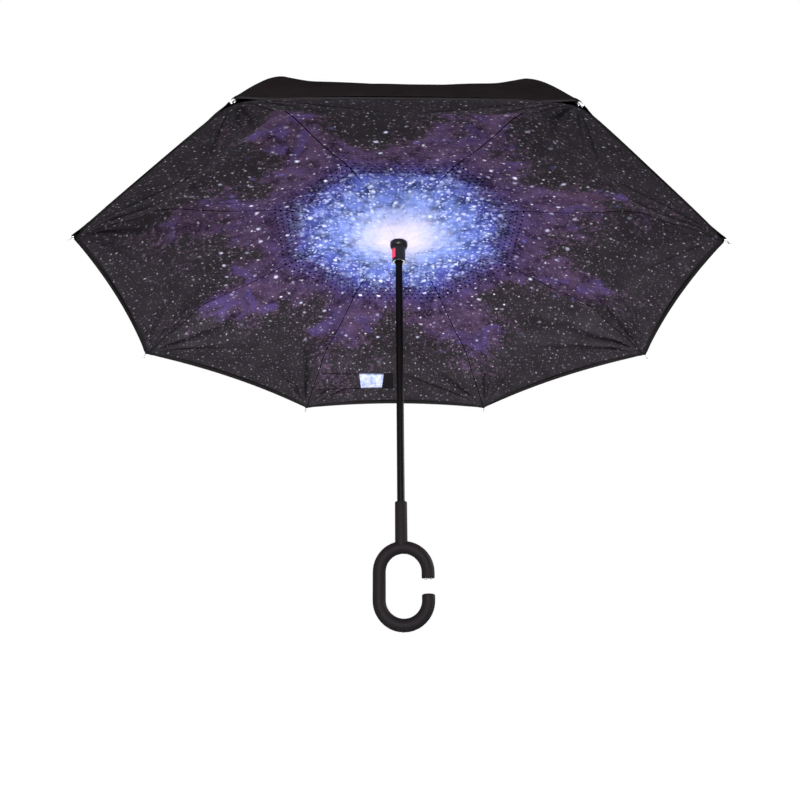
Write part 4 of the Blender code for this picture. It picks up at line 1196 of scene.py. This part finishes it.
def loop_stations():
    """Stations round the loop, with rounded ends."""
    half_width = LOOP_WIDTH / 2 - LOOP_RADIUS
    straight = LOOP_HEIGHT / 2 - LOOP_RADIUS - half_width
    right, left = LOOP_SHIFT + half_width, LOOP_SHIFT - half_width
    path = [(right, LOOP_ENDS[0] + (straight - LOOP_ENDS[0]) * k / 4) for k in range(4)]
    path += arc((LOOP_SHIFT, straight), half_width, 0.0, math.pi, BEND_STEPS)
    path += [(left, straight - 2 * straight * k / 8) for k in range(1, 8)]
    path += arc((LOOP_SHIFT, -straight), half_width, math.pi, 2 * math.pi, BEND_STEPS)
    path += [(right, -straight + (LOOP_ENDS[1] + straight) * k / 4) for k in range(1, 5)]
    places = [Vector(point) for point in path]
    stations = []
    for k, point in enumerate(places):
        way = (places[min(k + 1, len(places) - 1)] - places[max(k - 1, 0)]).normalized()
        stages = [(0.0, LOOP_RADIUS)]
        if k in (0, len(places) - 1):
            turns = [math.pi / 2 * step / 6 for step in range(7)]
            stages = [
                (LOOP_EDGE * (1 - math.sin(t)), LOOP_RADIUS - LOOP_EDGE * (1 - math.cos(t)))
                for t in turns
            ]
            stages = stages[::-1] if k == 0 else stages
        for inset, size in stages:
            stations.append((point + way * (inset if k == 0 else -inset), way, size))
    return stations


def neck_mesh():
    """The straight socket, from inside the loop to its rounded mouth round the shaft."""
    low, high = NECK_RADII
    mouth = arc((high - NECK_EDGE, NECK_TOP - NECK_EDGE), NECK_EDGE, 0.0, math.pi / 2, 5)
    foot = LOOP_HEIGHT / 2 - LOOP_RADIUS
    profile = [(0.0, foot), (low, foot), (low, LOOP_HEIGHT / 2 + 0.002), *mouth]
    bore = SHAFT_RADIUS + SHAFT_CLEAR
    profile += [(bore + SHAFT_CLEAR, NECK_TOP), (bore, NECK_TOP - 0.0008), (bore, NECK_TOP - 0.004)]
    return spun(profile, 48)


handle = hard_piece(joined(lofted(loop_stations(), 40), neck_mesh()), "hand_loop_and_neck",
                    soft_grip, "shaft")
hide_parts("c_handle")
print("loop stations:", len(loop_stations()))

# %% [markdown]
# ## Shaft, runner and button
#
# The shaft is a steel tube with a keyway, and its copy keeps that. The runner slides on it: a sleeve
# with a domed flange, a dull steel bush at its mouth, and a pocket for the red button. The button's
# face has raised ridges, so that a thumb finds it and doesn't slip.

# %% Shaft, runner and button
RUNNER_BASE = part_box("runner_body")[0].z
BUTTON_TURN = math.radians(33.0)
BUTTON_FACE = 0.0126
BUTTON_MIDDLE = RUNNER_BASE + 0.014
BUTTON_RIDGES = (-0.0048, -0.0024, 0.0, 0.0024, 0.0048)
RIDGE_SPAN = math.radians(15.0)
RIDGE_RADIUS = 0.0005
RIDGE_SUNK = 0.0002
BUSH_BORE = 0.0086
BUSH_RADIUS = 0.0095
BUSH_DEPTH = 0.0028


def button_ridges():
    """Raised ridges across the button's curved face."""
    strips = []
    for height in BUTTON_RIDGES:
        bm = bmesh.new()
        middle = (BUTTON_FACE - RIDGE_SUNK, height)
        profile = arc(middle, RIDGE_RADIUS, -math.pi / 2, math.pi / 2, 6)
        corners = [bm.verts.new((radius, 0, z)) for radius, z in profile]
        outline = [bm.edges.new(pair) for pair in zip(corners, corners[1:])]
        outline.append(bm.edges.new((corners[-1], corners[0])))
        bmesh.ops.rotate(bm, verts=corners, cent=(0, 0, 0), matrix=Matrix.Rotation(-RIDGE_SPAN, 3, "Z"))
        bmesh.ops.spin(
            bm, geom=corners + outline, cent=(0, 0, 0), axis=(0, 0, 1), angle=2 * RIDGE_SPAN, steps=10
        )
        bmesh.ops.holes_fill(bm, edges=bm.edges, sides=8)
        strips.append(bm)
    whole = joined(*strips)
    turn = Matrix.Rotation(math.pi + BUTTON_TURN, 4, "Z")
    bmesh.ops.transform(whole, matrix=Matrix.Translation((0, 0, BUTTON_MIDDLE)) @ turn, verts=whole.verts)
    return whole


def runner_bush():
    """A thin steel bush in the runner's mouth, with a rolled lip."""
    lip = arc((0.0099, RUNNER_BASE - 0.0001), 0.0004, 0.0, -math.pi, 6)
    top = RUNNER_BASE + BUSH_DEPTH
    profile = [(BUSH_RADIUS, top), (BUSH_RADIUS, RUNNER_BASE), *reversed(lip)]
    profile += [(0.0103, RUNNER_BASE - 0.00005), (BUSH_BORE, RUNNER_BASE - 0.0002), (BUSH_BORE, top)]
    return spun(profile, 64, closed=True)


refined("shaft_tube", black_paint, "shaft", 0.00015)
refined("runner_body", black_plastic, "runner", 0.00035)
refined("release_button", red_plastic, "button", 0.0004)
hard_piece(button_ridges(), "button_ridges", red_plastic, "button")
hard_piece(runner_bush(), "runner_bush", dull_steel, "runner")
refined("button_spring", bright_steel, "runner", 0.0)
print("runner from", round(1000 * RUNNER_BASE, 1), "to", round(1000 * RUNNER_TOP, 1), "mm")

# %% [markdown]
# ## Hinges at the top
#
# The ribs hinge on a wire ring in the runner's slotted crown, and the stretchers on another in the
# fixed notch. Slots like these are moulded, and their edges are soft. The cap above clamps the black
# cloth, and its flat top takes the weight when the closed umbrella stands upside down.

# %% Crowns, wires and cap
NOTCH_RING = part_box("notch_wire")[1].x - 0.0005
WIRE_RADIUS = 0.0005
CAP_BASE, CAP_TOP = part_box("top_cap")[0].z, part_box("top_cap")[1].z
CAP_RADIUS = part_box("top_cap")[1].x
CAP_FLAT_RADIUS = 0.0062
CAP_RIM = 0.0022
CAP_BORE_DEPTH = 0.0064


def cap_mesh():
    """A domed cap with a turned groove above its rim and a flat top."""
    width, rim = CAP_RADIUS - CAP_FLAT_RADIUS, CAP_BASE + CAP_RIM
    height = CAP_TOP - CAP_BASE - CAP_RIM
    turns = [math.pi / 2 * k / 14 for k in range(15)]
    dome = [(CAP_FLAT_RADIUS + width * math.cos(t), rim + height * math.sin(t)) for t in turns]
    groove = [(CAP_RADIUS, CAP_BASE + 0.0010), (CAP_RADIUS - 0.0004, CAP_BASE + 0.0012)]
    groove += [(CAP_RADIUS - 0.0004, CAP_BASE + 0.0016), (CAP_RADIUS, CAP_BASE + 0.0018)]
    bore, end = SHAFT_RADIUS + SHAFT_CLEAR, CAP_BASE + CAP_BORE_DEPTH
    profile = [(0.0, end), (bore, end), (bore, CAP_BASE)]
    profile += [(CAP_RADIUS - 0.0003, CAP_BASE), (CAP_RADIUS, CAP_BASE + 0.0003)]
    return spun(profile + groove + dome + [(0.0, CAP_TOP)], 56)


for name, body, pivot, ring in (
    ("runner_wire", "runner", RIB_PIVOT, PIVOT_RADIUS), ("notch_wire", "shaft", NOTCH_PIVOT, NOTCH_RING)
):
    circle = arc((ring, pivot), WIRE_RADIUS, 0.0, 2 * math.pi, 10)[:-1]
    wire = hard_piece(spun(circle, 72, closed=True), name + "_finished", bright_steel, body)
    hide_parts(name)
refined("runner_crown", black_plastic, "runner", 0.00018)
refined("top_notch", black_plastic, "shaft", 0.00018)
cap = hard_piece(cap_mesh(), "top_cap_finished", black_plastic, "shaft")
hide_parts("top_cap")
print("notch ring radius in mm:", round(1000 * NOTCH_RING, 2))

# %% [markdown]
# ## Ribs, stretchers and tips
#
# Each rib is a folded steel channel with a glass-fibre rod in its socket, and the rod ends in a
# turned steel tip with a pin and a ball, which holds both layers of cloth. The rod follows the same
# curve as before, the tip is spun from a finer profile, and copies of the solids make the rest.

# %% Ribs, stretchers and tips
ROD_RADIUS = 0.0014
ROD_INSET = 0.003
BALL_RADIUS = 0.0019
PIN_RADIUS = 0.0013
BALL_START = 0.0065
SLEEVE_PROFILE = (
    (0.0, 0.0003), (0.0017, 0.0003), (0.0017, -0.007), (0.0022, -0.007), (0.0024, -0.0067),
    (0.0024, -0.0048), (0.0021, -0.0044), (0.0021, -0.0038), (0.0024, -0.0034), (0.0024, -0.0001),
    (0.0020, 0.0006), (0.0014, 0.0011), (PIN_RADIUS, 0.0015),
)
POCKET_RADIUS = 0.0031
POCKET_PROFILE = (
    (-0.0150, 0.0028), (-0.0135, POCKET_RADIUS), (-0.0080, 0.0032), (-0.0025, POCKET_RADIUS),
    (-0.0006, 0.0030),
)
PLAIN_ASIDE = 0.02
PLAIN_INWARD = 0.06
TIP_WAY = (RIB_POINTS[-1] - RIB_POINTS[-2]).normalized()
TIP_SEAT = Vector((PIVOT_RADIUS, RIB_PIVOT)) + RIB_POINTS[-1]


def rod_mesh():
    """The bowed rod in its rib's frame."""
    points = [Vector((PIVOT_RADIUS + point.x, RIB_PIVOT + point.y)) for point in RIB_POINTS[1:]]
    points[0] += (points[1] - points[0]).normalized() * ROD_INSET
    stations = []
    for k, point in enumerate(points):
        way = points[min(k + 1, len(points) - 1)] - points[max(k - 1, 0)]
        stations.append((point, way, ROD_RADIUS))
    return lofted(stations, 10)


def tip_mesh():
    """The turned tip in its rib's frame: a sleeve with two beads, a pin and a ball."""
    swell = math.asin(PIN_RADIUS / BALL_RADIUS)
    centre = BALL_START + BALL_RADIUS * math.cos(swell)
    turns = [swell + (math.pi - swell) * k / 9 for k in range(1, 9)]
    ball = [(BALL_RADIUS * math.sin(t), centre - BALL_RADIUS * math.cos(t)) for t in turns]
    bm = spun([*SLEEVE_PROFILE, (PIN_RADIUS, BALL_START), *ball, (0.0, centre + BALL_RADIUS)], 24)
    aim = Vector((TIP_WAY.x, 0, TIP_WAY.y)).to_track_quat("Z", "Y").to_matrix().to_4x4()
    seat = Matrix.Translation((TIP_SEAT.x, 0, TIP_SEAT.y))
    bmesh.ops.transform(bm, matrix=seat @ aim, verts=bm.verts)
    return bm


def tip_pocket():
    """The little cloth sleeve in its rib's frame that the tip is pushed into.

    Its seam map stays in plain cloth, clear of the seam and the hem.
    """
    bm = lofted([(TIP_SEAT + TIP_WAY * place, TIP_WAY, radius) for place, radius in POCKET_PROFILE], 16)
    caps = [face for face in bm.faces if len(face.verts) > 4]
    bmesh.ops.delete(bm, geom=caps, context="FACES")
    cloth, seam = bm.loops.layers.uv.new("cloth"), bm.loops.layers.uv.new("seam")
    for face in bm.faces:
        for loop in face.loops:
            loop[cloth].uv = loop.vert.co.xy
            beyond_seat = loop.vert.co.x - TIP_SEAT.x
            loop[seam].uv = (loop.vert.co.y + PLAIN_ASIDE, PLAIN_INWARD + beyond_seat)
    bmesh.ops.recalc_face_normals(bm, faces=bm.faces)
    return bm


for n in range(1, RIBS + 1):
    sleeve = tip_pocket()
    bmesh.ops.transform(sleeve, matrix=rib_turn(n), verts=sleeve.verts)
    pocket = cloth_piece(sleeve, f"tip_pocket_{n}", f"rib_{n}", [black_cloth])
    for mesh, name, node, material, slot in (
        (rod_mesh(), "glass_rod", "rib_rod", black_fibre, "black_fibre"),
        (tip_mesh(), "turned_tip", "rib_tip", bright_steel, "bright_steel"),
    ):
        bmesh.ops.transform(mesh, matrix=rib_turn(n), verts=mesh.verts)
        piece = hard_piece(mesh, f"{name}_{n}", material, f"rib_{n}")
        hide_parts(f"{node}_{n}")
    refined(f"rib_arm_{n}", black_paint, f"rib_{n}", 0.00025)
    refined(f"stretcher_bar_{n}", black_paint, f"stretcher_{n}", 0.00025)
print("rod points:", len(RIB_POINTS) - 1)

# %% [markdown]
# ## Collar round the runner
#
# A small cone of the printed cloth is glued to the flange, inside the canopy. With the umbrella open
# the canopy hides it, and with it closed it covers the hinges where the gores have swung away.

# %% Cloth collar
COLLAR_ROWS = ((0.0142, 0.0008), (0.0160, 0.0022), (0.0182, 0.0050), (0.0204, 0.0080), (0.0222, 0.0108))
COLLAR_SIDES = 64
FLUTES = 16
FLUTE_DEPTH = 0.0005
CORE_INWARD = 0.5


def collar_mesh():
    """A fluted cone of cloth with both maps of the print."""
    bm = spun([(radius, RUNNER_TOP + height) for radius, height in COLLAR_ROWS], COLLAR_SIDES)
    for vert in bm.verts:
        lift = vert.co.z - RUNNER_TOP
        wave = math.sin(FLUTES * math.atan2(vert.co.y, vert.co.x))
        flute = FLUTE_DEPTH * wave * lift / COLLAR_ROWS[-1][1]
        vert.co.xy += vert.co.xy.normalized() * flute
    cloth, seam = bm.loops.layers.uv.new("cloth"), bm.loops.layers.uv.new("seam")
    for face in bm.faces:
        for loop in face.loops:
            loop[cloth].uv = loop.vert.co.xy
            loop[seam].uv = (PLAIN_ASIDE, CORE_INWARD)
    face_out(bm, -1)
    return bm


collar = cloth_piece(collar_mesh(), "runner_collar", "runner", [print_cloth, print_back])
print("collar reaches in mm:", 1000 * COLLAR_ROWS[-1][0])

# %% [markdown]
# ## Tie strap
#
# The strap that goes round the closed umbrella is sewn on beside a rib and lies flat on the printed
# side. It is cut from the same print, so only its edges, its stitches and one pale piece of the
# print give it away. A black patch of hooks ends it. It is split where the facet meets the wedge, and
# both halves ride on the rib.

# %% Tie strap
STRAP_RIB = 4
STRAP_THICKNESS = 0.0010
STRAP_EDGES = ((0.838, 0.474), (0.921, 0.185))
STRAP_SPAN = (0.05, 0.97)
STRAP_ROWS = 9
STRAP_COLUMNS = 14
STRAP_LIFT = CLOTH / 2 + CLOTH_GAP + STRAP_THICKNESS / 2
STRAP_CLEAR = 0.0008
WINDOW_START = 0.640
WINDOW_SLANT = 0.120
HOOK_START = 0.937
HOOK_SLANT = 0.074
HOOK_COLOR = (0.010, 0.009, 0.010)


def strap_lines():
    """Fine rows of the inner canopy across the strap, with the length run at each."""
    ends = [
        canopy_row(share * RIB_LENGTH, CLOTH_OFFSET + depth * LAYER_DEPTH, 0.0).x
        for share, depth in STRAP_EDGES
    ]
    radii = [ends[0] + (ends[1] - ends[0]) * k / (STRAP_ROWS - 1) for k in range(STRAP_ROWS)]
    lines = [row_at(inner_layer, radius) for radius in radii]
    return [row for row, _ in lines], [run for _, run in lines]


def make_strap_cloth(reach, edges):
    """The strap's print, with a pale piece, a black hook patch and stitches along its edges."""
    finish = Finish("strap_print", (0.03, 0.025, 0.035), 0.60, specular=0.0)
    sideways, inward = finish.split(finish.map("seam"))
    start, stop = reach
    outer, inner = edges
    aside = finish.math("ABSOLUTE", sideways)
    along = finish.math("DIVIDE", finish.math("SUBTRACT", aside, start), stop - start)
    across = finish.math("DIVIDE", finish.math("SUBTRACT", inward, outer), inner - outer)
    slanted = finish.math("MULTIPLY_ADD", across, WINDOW_SLANT, along)
    upright = finish.math("MULTIPLY_ADD", across, HOOK_SLANT, along)
    past_start = finish.math("GREATER_THAN", slanted, WINDOW_START)
    window = finish.times(past_start, finish.math("LESS_THAN", upright, HOOK_START))
    cloud = finish.noise(finish.map("cloth"), 60.0, 5.0, 0.7)
    pale = finish.ramp(cloud, [(0.38, (0.26, 0.31, 0.66)), (0.60, (0.58, 0.61, 0.86))])
    color = finish.mix(window, nebula_color(finish), pale)
    hooks = finish.math("GREATER_THAN", upright, HOOK_START)
    color = finish.mix(hooks, color, HOOK_COLOR)
    off_middle = finish.math("ABSOLUTE", finish.math("SUBTRACT", across, 0.5))
    rim = finish.math("GREATER_THAN", off_middle, 0.44)
    color = finish.mix(finish.times(rim, 0.75), color, (0.008, 0.007, 0.008))
    line = finish.math("COMPARE", off_middle, 0.41, 0.012)
    dash = finish.math("LESS_THAN", finish.math("FRACT", finish.times(along, 60.0)), STITCH_SHARE)
    tab = finish.math("COMPARE", along, 0.10, 0.004)
    thread = finish.math("MAXIMUM", finish.times(line, dash), tab)
    bristle = finish.times(hooks, finish.noise(finish.map("seam"), 900.0, 1.0), 3.0)
    relief = finish.math("SUBTRACT", weave(finish), finish.times(thread, 1.5))
    relief = finish.math("ADD", relief, bristle)
    return finish.done(color=color, normal=finish.bump(relief, CLOTH_RELIEF, 0.7))


strap_rows, strap_runs = strap_lines()
strap_edge = [facet_share(inner_layer, row) for row in strap_rows]
unit = strap_rows[0].x * math.sin(HALF_GORE) * math.cos(HALF_GORE)
rim_run = inner_layer.runs[-1]
strap_cloth = make_strap_cloth(
    (STRAP_SPAN[0] * unit, STRAP_SPAN[1] * unit), (rim_run - strap_runs[-1], rim_run - strap_runs[0])
)
for name, start, stop, side in (
    ("strap_by_rib", [-share for share in strap_edge], [-STRAP_SPAN[0]] * STRAP_ROWS, 0),
    ("strap_free_end", [-STRAP_SPAN[1]] * STRAP_ROWS, [-share for share in strap_edge], -1),
):
    bm = cloth_grid(
        inner_layer, STRAP_RIB, start, stop, STRAP_COLUMNS, STRAP_LIFT, strap_rows, strap_runs
    )
    strap = cloth_piece(bm, name, f"rib_{STRAP_RIB}", [strap_cloth], STRAP_THICKNESS)
    fold_piece(strap, inner_layer, side, STRAP_CLEAR)
    if side == 0:
        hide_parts("tie_strap")
print("strap width in mm:", round(1000 * (strap_runs[-1] - strap_runs[0]), 1))
